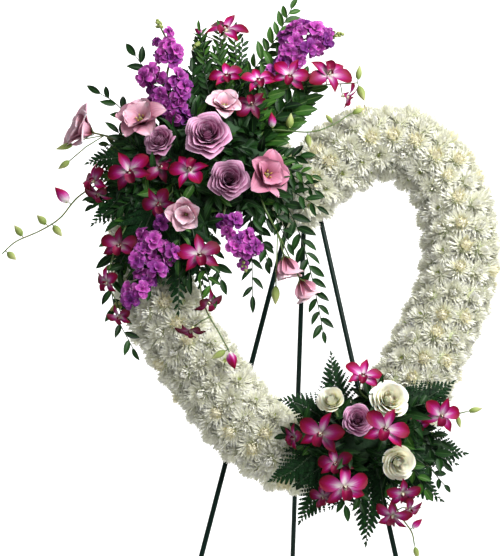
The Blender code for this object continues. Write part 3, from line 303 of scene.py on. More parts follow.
# %% [markdown]
# ## The blade
#
# A blade is a leaf or petal. One could be modelled by hand and copied, but then all would bend alike, and a
# formula gives each its own bend. With v from 0 at its root to 1 at its tip, and u from -1 to 1 across:
#
#     slope of the midrib = lift + (curl - lift) * v
#     half width = width / 2 * shape(v)
#     rise of the edges = half width * (cup * u^2 + fold * |u|)
#     wave of the rim = ruffle * width * sin(waves * pi * u + phase) * v^2 * |u|^0.5
#
# The midrib starts along the blade's way, and a slope turns it towards the blade's face.

# %% The blade
def column(values, n):
    """Numbers for n blades, ready to go with their rows and columns."""
    return np.broadcast_to(np.asarray(values, float), (n,)).reshape(n, 1, 1)


def blades(pile, root, way, face, length, width, shape="leaf", rows=6, columns=3, lift=0.0, curl=0.0,
           cup=0.0, ruffle=0.0, waves=3.0, fold=0.0, slot=0, shade=0.5):
    """Adds n blades; root, way and face are rows of n places and directions.

    The midrib goes forward by cos(slope) and up by sin(slope) at each step. A point leaves it by half
    width * u to its side, and by its rise and wave at right angles to the midrib.
    """
    root, way, face = (np.atleast_2d(np.asarray(a, float)) for a in (root, way, face))
    n = max(len(root), len(way), len(face))
    root, way, face = (np.broadcast_to(a, (n, 3)) for a in (root, way, face))
    way = unit(way)
    side = unit(np.cross(way, face))
    up = np.cross(side, way)
    v = np.linspace(0, 1, rows)[None, :, None]
    u = np.linspace(-1, 1, columns)[None, None, :]
    length, width = column(length, n), column(width, n)
    lift, curl, cup = column(lift, n), column(curl, n), column(cup, n)
    middle = (v[:, 1:] + v[:, :-1]) / 2
    slope = lift + (curl - lift) * middle
    step = length / (rows - 1)
    zero = np.zeros((n, 1, 1))
    forward = np.concatenate([zero, np.cumsum(np.cos(slope) * step, axis=1)], axis=1)
    high = np.concatenate([zero, np.cumsum(np.sin(slope) * step, axis=1)], axis=1)
    half = width / 2 * SHAPES[shape](v)
    here = lift + (curl - lift) * v
    raised = cup * half * u ** 2 + fold * half * np.abs(u)
    phase = column(dice.uniform(0, math.tau, n), n)
    wave = np.sin(waves * math.pi * u + phase) * v ** 2 * np.abs(u) ** 0.5
    raised = raised + column(ruffle, n) * width * wave
    forward = forward - raised * np.sin(here)
    high = high + raised * np.cos(here)
    across = half * u
    points = (root[:, None, None, :] + side[:, None, None, :] * across[..., None]
              + way[:, None, None, :] * forward[..., None] + up[:, None, None, :] * high[..., None])
    pile.grids(points, slot, shade)


print("the lengths of 3 blades become an array of", column(1.0, 3).shape)

# %% [markdown]
# ## Whorls and buds
#
# In a flower the petals stand round an axis, so a whorl is a set of blades at angles round it, lifted from
# its level. Copies of one petal could be turned round the axis, but here each has its own lean and length.
# A bud is a closed form between two places, with its widest part at its belly.

# %% Whorls and buds
def facing(at, face, spin=0.0):
    """The frame of a flower, its third axis towards face."""
    turn = Vector(face).normalized().to_track_quat("Z", "Y").to_matrix().to_4x4()
    return Matrix.Translation(at) @ turn @ Matrix.Rotation(math.radians(spin), 4, "Z")


def whorl(pile, place, angles, lifts, length, width, ring=0.0, height=0.0, loose=0.0, **looks):
    """Blades round a flower's axis: angles round it, and lifts of their root from its level.

    In the flower's frame a blade's way is (cos(angle) * cos(lift), sin(angle) * cos(lift), sin(lift)).
    """
    numbers = (np.asarray(a, float) for a in (angles, lifts, ring, height))
    angles, lifts, ring, height = np.broadcast_arrays(*numbers)
    frame_here = np.array(place)
    turn, at = frame_here[:3, :3], frame_here[:3, 3]
    c, s, cl, sl = np.cos(angles), np.sin(angles), np.cos(lifts), np.sin(lifts)
    way = np.stack([c * cl, s * cl, sl], axis=-1) @ turn.T
    face = np.stack([-c * sl, -s * sl, cl], axis=-1) @ turn.T
    root = np.stack([c * ring, s * ring, height], axis=-1) @ turn.T + at
    face = face + dice.uniform(-loose, loose, face.shape)
    blades(pile, root, way, face, length, width, **looks)


def eggs(pile, root, tip, width, sides=8, rows=8, slot=0, shade=0.5, belly=0.55):
    """Closed buds between rows of roots and tips, widest at the share `belly` of their length.

    The half width is width / 2 * sin(pi * v^power), and belly^power is a half.
    """
    root, tip = np.atleast_2d(np.asarray(root, float)), np.atleast_2d(np.asarray(tip, float))
    way = unit(tip - root)
    helper = np.where(np.abs(way[:, :1]) < 0.7, np.array([[1.0, 0, 0]]), np.array([[0, 1.0, 0]]))
    one = unit(np.cross(way, helper))
    v = np.linspace(0, 1, rows)
    power = math.log(0.5) / math.log(belly)
    radius = column(width, len(root))[..., 0] / 2 * (np.sin(np.pi * v ** power) + 0.01)[None]
    ring = rings(one, np.cross(way, one), sides)[:, None, :, :] * radius[..., None, None]
    middle = root[:, None, :] + (tip - root)[:, None, :] * v[None, :, None]
    pile.grids(middle[:, :, None, :] + ring, slot, shade, wrap=True)


print("a flower that faces up has its third axis at", tuple(facing((0, 0, 0), (0, 0, 1)).col[2][:3]))

# %% [markdown]
# ## Materials
#
# A material is a tree of nodes, and the same few kinds come back in every petal and leaf: noise, ramps,
# mixes and sums. The trees could be drawn by hand in the shader editor. Written with a short word for each
# kind, they can be read, and two petals differ only in their numbers.

# %% Short words for nodes
BLACK, WHITE = (0, 0, 0), (1, 1, 1)


class Nodes:
    """Short words for building a material's nodes."""

    def __init__(self, name):
        self.material = bpy.data.materials.new(name)
        self.material.use_nodes = True
        self.tree = self.material.node_tree
        self.shader = self.tree.nodes["Principled BSDF"]

    def new(self, kind, settings=None, **inputs):
        """A node; i0 and i1 are its first two sockets, and any other word is a socket's name."""
        node = self.tree.nodes.new(kind)
        for key, value in (settings or {}).items():
            setattr(node, key, value)
        for key, value in inputs.items():
            self.put(node.inputs[int(key[1:]) if key[1:].isdigit() else key.replace("_", " ")], value)
        return node

    def put(self, socket, value):
        """Links a node's value to a socket, or sets the socket; a colour is three numbers."""
        if isinstance(value, bpy.types.NodeSocket):
            self.tree.links.new(value, socket)
        elif socket.type == "RGBA":
            socket.default_value = (*value, 1.0)
        else:
            socket.default_value = value

    def attribute(self, name):
        """A number that each point keeps."""
        return self.new("ShaderNodeAttribute", {"attribute_name": name}).outputs["Fac"]

    def math(self, operation, a, b=0.0):
        """One sum on two values."""
        return self.new("ShaderNodeMath", {"operation": operation}, i0=a, i1=b).outputs[0]

    def place(self, *pairs):
        """A place whose three coordinates are each a value times a scale."""
        x, y, z = (self.math("MULTIPLY", value, scale) for value, scale in pairs)
        return self.new("ShaderNodeCombineXYZ", X=x, Y=y, Z=z).outputs[0]

    def mix(self, share, a, b, blend="MIX"):
        """A share of colour b over colour a."""
        node = self.new("ShaderNodeMix", {"data_type": "RGBA", "blend_type": blend})
        self.put(node.inputs[0], share)
        self.put(node.inputs[6], a)
        self.put(node.inputs[7], b)
        return node.outputs[2]

    def ramp(self, share, stops):
        """Colours by a share, from rising stops of place and colour."""
        node = self.new("ShaderNodeValToRGB", i0=share)
        elements = node.color_ramp.elements
        for element, (place, colour) in ((elements[0], stops[0]), (elements[1], stops[-1])):
            element.position = place
            element.color = (*colour, 1.0)
        for place, colour in stops[1:-1]:
            elements.new(place).color = (*colour, 1.0)
        return node.outputs[0]

    def between(self, value, low, high):
        """A share that is 0 below low and 1 above high."""
        return self.ramp(value, [(low, BLACK), (high, WHITE)])

    def noise(self, place, scale, detail=3.0, rough=0.5):
        """Soft random blotches."""
        node = self.new("ShaderNodeTexNoise", Vector=place, Scale=scale, Detail=detail, Roughness=rough)
        return node.outputs[0]

    def finish(self, colour, roughness, bump=None, strength=0.2, distance=0.001, **inputs):
        """Puts the colour, the roughness, a bump and any other input on the shader."""
        self.put(self.shader.inputs["Base Color"], colour)
        self.put(self.shader.inputs["Roughness"], roughness)
        if bump is not None:
            node = self.new("ShaderNodeBump", Strength=strength, Distance=distance, Height=bump)
            self.put(self.shader.inputs["Normal"], node.outputs[0])
        for key, value in inputs.items():
            self.put(self.shader.inputs[key.replace("_", " ")], value)
        return self.material


print("the words are", ", ".join(word for word in vars(Nodes) if not word.startswith("_")))

# %% [markdown]
# ## Finishes of the plants
#
# Each petal's colour runs from its root to its tip, between a dark and a light shade of its own. Fine veins
# are a noise that is stretched along the blade, which also gives the bump. Soft is how much light goes
# through the petal. In an orchid a streak moves the place along, so the white root runs out along the
# midrib. A leaf has a midrib, slanting side veins and blotches, and a stem has streaks. All of it follows
# the blade's own numbers, because a pattern in the room's axes would cut across the petals.

# %% Finishes of the plants
def petal_finish(name, stops, dark, light, vein, vein_scale, roughness, soft, rim=None, strength=0.25,
                 depth=0.5, streak=0.0, radius=(0.006, 0.004, 0.003)):
    """A petal: colours by place along, shaded per petal from dark to light, with stretched veins.

    With a streak the place along is moved by streak * (1.6 * (veins - 0.5) + 0.9 * |across| - 0.35).
    """
    n = Nodes(name)
    along, across, shade = (n.attribute(a) for a in ("along", "across", "shade"))
    veins = n.noise(n.place((across, vein_scale), (along, 1.3), (shade, 41.0)), 1.0, 4.0, 0.6)
    if streak:
        aside = n.math("MULTIPLY", n.math("ABSOLUTE", across), 0.9)
        moved = n.math("ADD", n.math("MULTIPLY", veins, 1.6), aside)
        along = n.math("ADD", along, n.math("MULTIPLY", n.math("SUBTRACT", moved, 1.15), streak))
    colour = n.ramp(along, stops)
    # The rim colour goes on towards the petal's sides; in the lavender rose it is a painted highlight.
    if rim is not None:
        edge = n.math("POWER", n.math("ABSOLUTE", across), 3.0)
        colour = n.mix(n.math("MULTIPLY", edge, 0.6), colour, rim)
    colour = n.mix(1.0, colour, n.ramp(shade, [(0.0, dark), (1.0, light)]), "MULTIPLY")
    grain = n.ramp(veins, [(0.30, (1 - vein,) * 3), (0.62, WHITE)])
    colour = n.mix(1.0, colour, grain, "MULTIPLY")
    return n.finish(colour, roughness, veins, strength, 0.0006, Specular_IOR_Level=0.12,
                    Subsurface_Weight=soft, Subsurface_Radius=radius, Subsurface_Scale=depth)


def leaf_finish(name, dark, light, rib, roughness, gloss):
    """A leaf: a pale midrib, side veins, and a blotchy blade."""
    n = Nodes(name)
    along, across, shade = (n.attribute(a) for a in ("along", "across", "shade"))
    reach = n.math("ABSOLUTE", across)
    blotch = n.noise(n.place((across, 3.0), (along, 4.0), (shade, 53.0)), 1.6, 4.0, 0.6)
    slant = n.math("SUBTRACT", n.math("MULTIPLY", along, 34.0), n.math("MULTIPLY", reach, 14.0))
    side_veins = n.math("POWER", n.math("ABSOLUTE", n.math("SINE", slant)), 0.6)
    colour = n.mix(n.between(shade, 0.0, 1.0), dark, light)
    mottle = n.ramp(blotch, [(0.3, (0.62, 0.66, 0.60)), (0.7, (1.12, 1.10, 1.05))])
    colour = n.mix(1.0, colour, mottle, "MULTIPLY")
    colour = n.mix(n.ramp(reach, [(0.03, (0.75,) * 3), (0.14, BLACK)]), colour, rib)
    height = n.math("ADD", n.math("MULTIPLY", side_veins, 0.5), n.math("MULTIPLY", blotch, 0.6))
    return n.finish(colour, roughness, height, 0.25, 0.0007, Specular_IOR_Level=gloss,
                    Subsurface_Weight=0.08, Subsurface_Radius=(0.002, 0.004, 0.001), Subsurface_Scale=0.4)


def stem_finish(name, colour, other, roughness=0.5):
    """A stem: streaks along it."""
    n = Nodes(name)
    along, across, shade = (n.attribute(a) for a in ("along", "across", "shade"))
    streak = n.noise(n.place((across, 4.0), (along, 9.0), (shade, 19.0)), 2.0, 3.0, 0.6)
    tone = n.mix(n.between(streak, 0.3, 0.7), colour, other)
    return n.finish(tone, roughness, streak, 0.2, 0.0004, Subsurface_Weight=0.05)


print("every finish of a plant reads along, across and shade")

# %% [markdown]
# ## White petals
#
# A white petal isn't one white. It is greenish at its root, cream in the heart of the head, and brightest
# at its rim, and much light goes through it. One flat white would make the head a ball without petals.

# %% White petals
mum_petal = petal_finish(
    "white_chrysanthemum_petal",
    [(0.0, (0.52, 0.58, 0.26)), (0.14, (0.78, 0.80, 0.58)), (0.45, (0.90, 0.90, 0.79)),
     (1.0, (0.94, 0.94, 0.88))],
    dark=(0.90, 0.90, 0.84), light=(1.0, 1.0, 0.98), vein=0.05, vein_scale=5.0, roughness=0.7, soft=0.60,
    depth=1.0, radius=(0.0045, 0.0045, 0.0040))
mum_heart = petal_finish(
    "white_chrysanthemum_heart",
    [(0.0, (0.50, 0.50, 0.22)), (0.4, (0.84, 0.80, 0.52)), (1.0, (0.95, 0.93, 0.78))],
    dark=(0.92, 0.90, 0.82), light=(1.0, 0.99, 0.95), vein=0.08, vein_scale=5.0, roughness=0.7, soft=0.45,
    radius=(0.0045, 0.0045, 0.0035))
mum_eye = petal_finish(
    "white_chrysanthemum_eye",
    [(0.0, (0.10, 0.16, 0.03)), (0.4, (0.42, 0.50, 0.13)), (1.0, (0.72, 0.77, 0.40))],
    dark=(0.80, 0.85, 0.70), light=(1.0, 1.0, 0.9), vein=0.10, vein_scale=5.0, roughness=0.6, soft=0.20)
mum_base = petal_finish(
    "white_chrysanthemum_base",
    [(0.0, (0.22, 0.28, 0.12)), (0.5, (0.54, 0.58, 0.38)), (1.0, (0.66, 0.70, 0.44))],
    dark=(0.8, 0.85, 0.75), light=(1.0, 1.0, 0.95), vein=0.35, vein_scale=26.0, roughness=0.8, soft=0.10,
    strength=0.6)
print(mum_petal.name, mum_heart.name, mum_eye.name, mum_base.name)

# %% [markdown]
# ## Petals of roses and lisianthus
#
# The lavender rose is lavender, and its ramp adds painted shade and a painted highlight: it is near black at
# each petal's root, deep in the rose and between the petals, and pale at the lip. The ivory rose is yellow
# green deep inside, and the pink lisianthus is darkest at the root of each petal, in its throat. A picture
# of a petal could be laid on, but a ramp along the blade follows each petal however it bends.

# %% Petals of roses and lisianthus
# Lavender rose: the near-black root of the ramp is painted shade deep in the rose and between its petals,
# and the pale lip and the rim at the petal's sides are a painted highlight.
lavender = petal_finish(
    "lavender_rose_petal",
    [(0.0, (0.035, 0.003, 0.012)), (0.50, (0.16, 0.026, 0.070)), (0.72, (0.40, 0.125, 0.245)),
     (0.90, (0.60, 0.27, 0.44)), (1.0, (0.84, 0.56, 0.72))],
    dark=(0.50, 0.40, 0.46), light=(1.06, 1.00, 1.06), vein=0.16, vein_scale=9.0, roughness=0.55, soft=0.12,
    rim=(0.62, 0.32, 0.48))
ivory = petal_finish(
    "ivory_rose_petal",
    [(0.0, (0.50, 0.50, 0.16)), (0.48, (0.84, 0.82, 0.48)), (0.70, (0.94, 0.93, 0.70)),
     (0.86, (0.98, 0.97, 0.84)), (1.0, (1.0, 0.99, 0.90))],
    dark=(0.94, 0.94, 0.88), light=(1.05, 1.05, 1.02), vein=0.04, vein_scale=9.0, roughness=0.5, soft=0.36)
pink = petal_finish(
    "pink_lisianthus_petal",
    [(0.0, (0.10, 0.03, 0.02)), (0.14, (0.20, 0.045, 0.055)), (0.36, (0.58, 0.24, 0.33)),
     (0.75, (0.74, 0.42, 0.50)), (1.0, (0.84, 0.61, 0.67))],
    dark=(0.68, 0.44, 0.56), light=(1.12, 1.26, 1.24), vein=0.22, vein_scale=11.0, roughness=0.55, soft=0.30)
print(lavender.name, ivory.name, pink.name)

# %% [markdown]
# ## Petals of stock and orchids
#
# The florets of the stock have paler rims. An orchid's petal runs from a white root through magenta to a
# dark red tip, and its streaks make the border of the white ragged. The lip is darker still, and its column
# and the buds are pale green.

# %% Petals of stock and orchids
purple = petal_finish(
    "purple_stock_petal",
    [(0.0, (0.42, 0.40, 0.26)), (0.08, (0.34, 0.06, 0.31)), (0.50, (0.38, 0.032, 0.31)),
     (0.84, (0.52, 0.090, 0.44)), (1.0, (0.74, 0.36, 0.67))],
    dark=(0.32, 0.24, 0.44), light=(1.12, 1.05, 1.08), vein=0.30, vein_scale=8.0, roughness=0.65, soft=0.10,
    rim=(0.48, 0.15, 0.47))
magenta = petal_finish(
    "magenta_orchid_petal",
    [(0.0, (0.84, 0.84, 0.72)), (0.18, (0.82, 0.74, 0.78)), (0.34, (0.60, 0.20, 0.46)),
     (0.50, (0.44, 0.014, 0.210)), (0.70, (0.31, 0.0010, 0.062)), (1.0, (0.21, 0.0003, 0.014))],
    dark=(0.30, 0.20, 0.22), light=(1.16, 1.12, 1.16), vein=0.36, vein_scale=12.0, roughness=0.50, soft=0.10,
    streak=0.34)
magenta_lip = petal_finish(
    "magenta_orchid_lip",
    [(0.0, (0.80, 0.80, 0.56)), (0.22, (0.50, 0.16, 0.28)), (0.45, (0.26, 0.004, 0.060)),
     (1.0, (0.13, 0.0003, 0.010))],
    dark=(0.8, 0.8, 0.8), light=WHITE, vein=0.35, vein_scale=10.0, roughness=0.45, soft=0.06)
orchid_white = petal_finish(
    "orchid_white", [(0.0, (0.38, 0.44, 0.15)), (0.5, (0.66, 0.68, 0.42)), (1.0, (0.74, 0.66, 0.60))],
    dark=(0.9, 0.9, 0.9), light=WHITE, vein=0.1, vein_scale=7.0, roughness=0.45, soft=0.25)
bud_green = petal_finish(
    "green_bud", [(0.0, (0.16, 0.24, 0.05)), (0.6, (0.36, 0.42, 0.14)), (1.0, (0.52, 0.52, 0.28))],
    dark=(0.7, 0.75, 0.6), light=WHITE, vein=0.20, vein_scale=6.0, roughness=0.45, soft=0.15)
print(purple.name, magenta.name, magenta_lip.name, orchid_white.name, bud_green.name)

# %% [markdown]
# ## Leaves and stems
#
# The broad leaves are dark with a soft gloss, the fern is duller, and a few young leaves are bright. One
# green could do for all, but then the foliage would look like one piece.

# %% Leaves and stems
dark_leaf = leaf_finish("dark_leaf", (0.002, 0.012, 0.003), (0.013, 0.055, 0.010), rib=(0.035, 0.095, 0.022),
                        roughness=0.42, gloss=0.16)
fern_leaf = leaf_finish("fern_leaf", (0.001, 0.012, 0.003), (0.006, 0.040, 0.009), rib=(0.020, 0.065, 0.016),
                        roughness=0.5, gloss=0.12)
bright_leaf = leaf_finish("bright_leaf", (0.008, 0.042, 0.005), (0.048, 0.150, 0.018),
                          rib=(0.12, 0.22, 0.05), roughness=0.42, gloss=0.18)
green_stem = stem_finish("green_stem", (0.040, 0.080, 0.014), (0.10, 0.17, 0.04))
dark_stem = stem_finish("dark_stem", (0.006, 0.024, 0.006), (0.02, 0.050, 0.012))
print(dark_leaf.name, fern_leaf.name, bright_leaf.name, green_stem.name, dark_stem.name)

# %% [markdown]
# ## Finishes of the stand
#
# The stand and the foam are made things without petals, so they keep the frame's own meshes. They get a
# material by their own coordinates: dark green enamel that is mottled and a little worn, black rubber tips,
# a bright pin, grainy wet foam and a pale board.

# %% Finishes of the stand
def solid_finish(name, low, high, scale, roughness, strength, distance, metallic=0.0, gloss=0.5, wear=None):
    """A made material by its object's own coordinates: mottled from low to high, with a bump."""
    n = Nodes(name)
    place = n.new("ShaderNodeTexCoord").outputs["Object"]
    coarse = n.noise(place, scale, 5.0, 0.6)
    fine = n.noise(place, scale * 9, 3.0, 0.6)
    colour = n.mix(n.between(coarse, 0.35, 0.65), low, high)
    if wear is not None:
        spots = n.noise(place, scale * 3.2, 6.0, 0.7)
        colour = n.mix(n.between(spots, 0.68, 0.74), colour, wear)
    rough = n.math("ADD", n.math("MULTIPLY", fine, 0.2), roughness - 0.1)
    return n.finish(colour, rough, fine, strength, distance, Metallic=metallic, Specular_IOR_Level=gloss)


green_paint = solid_finish(
    "green_enamel", (0.001, 0.008, 0.005), (0.002, 0.013, 0.009), scale=24.0, roughness=0.36, strength=0.05,
    distance=0.0006, gloss=0.10, wear=(0.006, 0.022, 0.016))
bright_pin = solid_finish(
    "bright_rivet", (0.50, 0.51, 0.52), (0.62, 0.63, 0.64), scale=60.0, roughness=0.32, strength=0.10,
    distance=0.0003, metallic=1.0)
black_rubber = solid_finish(
    "black_rubber_tip", (0.012, 0.012, 0.013), (0.028, 0.028, 0.030), scale=45.0, roughness=0.80,
    strength=0.25, distance=0.0005)
foam_green = solid_finish(
    "wet_foam", (0.010, 0.036, 0.012), (0.022, 0.062, 0.022), scale=30.0, roughness=0.90, strength=0.60,
    distance=0.0020)
pale_board = solid_finish(
    "pale_board_skin", (0.66, 0.66, 0.62), (0.78, 0.78, 0.74), scale=40.0, roughness=0.75, strength=0.35,
    distance=0.0010)
NODE_FINISHES = {"heart_foam": foam_green, "top_spray_foam": foam_green, "bottom_spray_foam": foam_green,
                 "back_board": pale_board, "easel_pin": bright_pin}
for name, node in frame["nodes"].items():
    made = NODE_FINISHES.get(name)
    if made is None and name.startswith("easel_"):
        made = black_rubber if name.endswith("foot") else green_paint
    if made is not None:
        node.data.materials.clear()
        node.data.materials.append(made)
print(green_paint.name, bright_pin.name, black_rubber.name, foam_green.name, pale_board.name)

# %% [markdown]
# ## White chrysanthemums
#
# A cushion chrysanthemum could be a ball with a bump on it, but its loose rim is what makes it look alive,
# so each petal is a blade. Petals go round a head by the golden angle. The share t of the n-th petal runs
# from 0 in its heart to 1 at its rim, and with it the petal leans from upright to a little below level and
# grows from short to long. Most heads towards the opening have a green eye, and most on the crown curl
# their inner petals over their heart.

# %% One chrysanthemum
GOLDEN = math.radians(137.508)
HEAD_KINDS = {
    "eye": (62, 0.13, 0.5, 2, 10, 0.068, 0.056),
    "curled": (98, 0.45, 1.0, 1, 90, 0.066, 0.066),
    "plain": (96, 0.12, 0.9, 1, 60, 0.078, 0.070),
}


def chrysanthemum(pile, place, size, kind, petals=290):
    """One head: straps from its heart to a loose white rim, over a pale dome that fills its gaps.

    A kind is the lean of its first petals, the share of petals in its heart, how long those are, their
    material, how far they curl, and the width of the first petals and how much wider the last are. The lean
    at t is start - (start + 26) * t^0.8 degrees, and the length is size * (0.42 + 0.62 * t^0.55).
    """
    start, heart, short, heart_slot, curled, slim, wider = HEAD_KINDS[kind]
    t = (np.arange(petals) + 0.5) / petals
    angles = np.arange(petals) * GOLDEN + dice.uniform(-0.16, 0.16, petals)
    lifts = np.radians(start - (start + 26) * t ** 0.80 + dice.uniform(-9, 9, petals))
    length = size * (0.42 + 0.62 * t ** 0.55) * dice.uniform(0.80, 1.08, petals)
    width = size * (slim + wider * t) * dice.uniform(0.85, 1.15, petals)
    curl = np.radians(curled * np.clip(1 - t / 0.60, 0, 1) + 46 - 22 * t + dice.uniform(-26, 26, petals))
    own = dice.uniform(0, 1)
    shade = np.clip(0.2 + 0.6 * own + dice.uniform(-0.2, 0.2, petals), 0, 1)
    inner = t < heart
    for chosen, slot in ((inner, heart_slot), (~inner, 0)):
        whorl(pile, place, angles[chosen], lifts[chosen], length[chosen] * (short if slot else 1),
              width[chosen], ring=size * 0.16 * t[chosen], height=-0.30 * size * t[chosen], loose=0.10,
              shape="strap", rows=5, columns=3, lift=-0.15, curl=curl[chosen], cup=0.40, slot=slot,
              shade=shade[chosen])
    low, high = (place @ Vector((0, 0, h * size)) for h in (-0.62, 0.02 if kind == "eye" else 0.12))
    eggs(pile, [low], [high], 1.05 * size, slot=3, shade=own, sides=10, rows=6)


print("a head is of", len(HEAD_KINDS), "kinds:", ", ".join(HEAD_KINDS))

# %% [markdown]
# ## Rows of heads
#
# A florist sets the heads in close rows, so that no foam shows, and places at random would leave gaps. The
# heads stand in seven rows round the bed, from its inner to its outer flank, and the rows are moved by half
# a step against each other. Where a spray covers the heart, only the flanks have heads.

# %% Rows of heads
FULL_SPANS = ((0, 3), (3, 5), (5, 7), (7, 10), (12, 14), (14, 17), (17, 20), (23, 24))
TOP_SPAN, BOTTOM_SPAN = (20, 23), (10, 12)
HEAD_STEP, HEAD_SIZE, FLANK_HEAD_SIZE = 0.0430, 0.0290, 0.0275
KIND_CHANCES = ((-20, "eye", 0.62), (20, "curled", 0.80), (180, "curled", 0.22))


def row_of_heads(first, last, degrees, size, piles, name=None):
    """One row along a part of the heart, at equal steps; returns its number of heads.

    The degrees are 0 on the crown and below 0 towards the opening. Below each of the degrees in
    KIND_CHANCES one kind is usual, and the other heads are plain. Without a name a head joins the pile of
    its own span.
    """
    angle = math.radians(degrees)
    tiles = np.linspace(first, last, max(2, int((last - first) * 60)))
    line = np.array([on_bed(t, angle, 0.004) for t in tiles])
    steps = np.concatenate([[0], np.cumsum(np.linalg.norm(np.diff(line, axis=0), axis=1))])
    count = max(1, round(steps[-1] / HEAD_STEP))
    shift = 0.25 if round(degrees / 32) % 2 else 0.75
    raised = 0.014 if degrees > -50 else 0.008
    usual, chance = next((kind, chance) for below, kind, chance in KIND_CHANCES if degrees < below)
    for goal in (np.arange(count) + shift) / count * steps[-1]:
        tile = float(np.interp(goal, steps, tiles))
        base, over = on_bed(tile, angle, 0.0), on_bed(tile, angle, 0.02)
        face = (over - base).normalized() + Vector(dice.uniform(-0.20, 0.20, 3))
        key = name or next(str(n + 1) for n, (a, b) in enumerate(FULL_SPANS) if a <= tile <= b)
        place = facing(base + face.normalized() * raised, face, dice.uniform(0, 360))
        kind = usual if dice.random() < chance else "plain"
        chrysanthemum(piles.setdefault(key, Pile()), place, size * dice.uniform(0.93, 1.07), kind)
    return count


piles = {}
heads = 0
for first, last in ((0, 10), (12, 20), (23, 24)):
    for degrees in (-96, -64, -32, 0, 32, 64, 96):
        heads += row_of_heads(first, last, degrees, HEAD_SIZE, piles)
for label, (first, last) in (("top", TOP_SPAN), ("bottom", BOTTOM_SPAN)):
    for side, rows in (("inner", (-94, -60)), ("outer", (60, 94))):
        for degrees in rows:
            heads += row_of_heads(first, last, degrees, FLANK_HEAD_SIZE, piles, f"{label}_{side}")
for key, pile in piles.items():
    pile.build(f"heads_{key}", [f"chrysanthemums_{key}"], [mum_petal, mum_heart, mum_eye, mum_base],
               "white_chrysanthemum")
print(heads, "heads")

# %% [markdown]
# ## Stems in the foam
#
# Every stem starts in its own plain hole in the foam, as in the frame. The foam's spine is nine places
# along the middle of the span, and a stem leaves from the nearest one, so the stems fan out. One place for
# all would be simpler, but then they would run into each other.

# %% Stems in the foam
SPINE_OUT, STEM_STOP, LEAF_OUT, LEAF_FOOT = 0.094, 0.026, 0.080, 0.055
SPINE_PLACES, SPINE_FROM, SPINE_SHARE = 9, 0.18, 0.64
CLOSE_TO_FOAM = 0.045
ROSE_STEM, FLOWER_STEM = 0.0022, 0.0018


class Spray:
    """A spray's foam: the places that its stems leave from."""

    def __init__(self, span):
        first, last = span
        shares = [SPINE_FROM + SPINE_SHARE * n / (SPINE_PLACES - 1) for n in range(SPINE_PLACES)]
        self.spine = [on_ring(first + (last - first) * share, 0.0, SPINE_OUT) for share in shares]

    def nearest(self, head, out):
        """The spine's place nearest to a head, seen from the front."""
        near = min(self.spine, key=lambda p: (p - head).xz.length).copy()
        near.y = -out
        return near

    def stem(self, head, out=SPINE_OUT, through=(), depth=STEM_STOP):
        """A stem's line from the foam to its head, without the places that are still close to the foam."""
        line = [*through, head]
        while len(line) > 1 and (line[0] - self.nearest(line[0], out)).length < CLOSE_TO_FOAM:
            line.pop(0)
        near = self.nearest(line[0], out)
        return [near + (line[0] - near).normalized() * depth, *line]


top, bottom = Spray(TOP_SPAN), Spray(BOTTOM_SPAN)
print("the sprays are", round((top.spine[4] - bottom.spine[4]).length * 1000), "mm apart")

# %% [markdown]
# ## Roses
#
# A rose could be one long sheet rolled up, but separate petals have the lips that catch the light. A petal
# wraps round the axis. Near its top:
#
#     angle = middle + span * u
#     distance = reach * (0.34 + 0.66 * v^0.6) * (1 - inwards * v^3) + lip * v^5
#
# The share `inwards` closes the heart. The lip rolls outwards most at the point in the petal's middle, and
# the top is lower at the petal's sides.

# %% Roses
ROSE_WHORLS = (
    (3, 0.065, 0.550, -0.20, 0.008, 1.25, 0.20), (3, 0.120, 0.585, -0.22, 0.014, 1.25, 0.28),
    (3, 0.180, 0.605, -0.25, 0.024, 1.20, 0.26), (3, 0.245, 0.605, -0.28, 0.036, 1.15, 0.20),
    (4, 0.315, 0.580, -0.31, 0.050, 0.98, 0.14), (4, 0.385, 0.545, -0.35, 0.066, 0.95, 0.08),
    (4, 0.460, 0.490, -0.39, 0.086, 0.95, 0.03), (5, 0.545, 0.410, -0.43, 0.110, 0.80, 0.0),
    (5, 0.640, 0.300, -0.48, 0.150, 0.80, 0.0), (5, 0.735, 0.160, -0.53, 0.200, 0.78, 0.0),
)


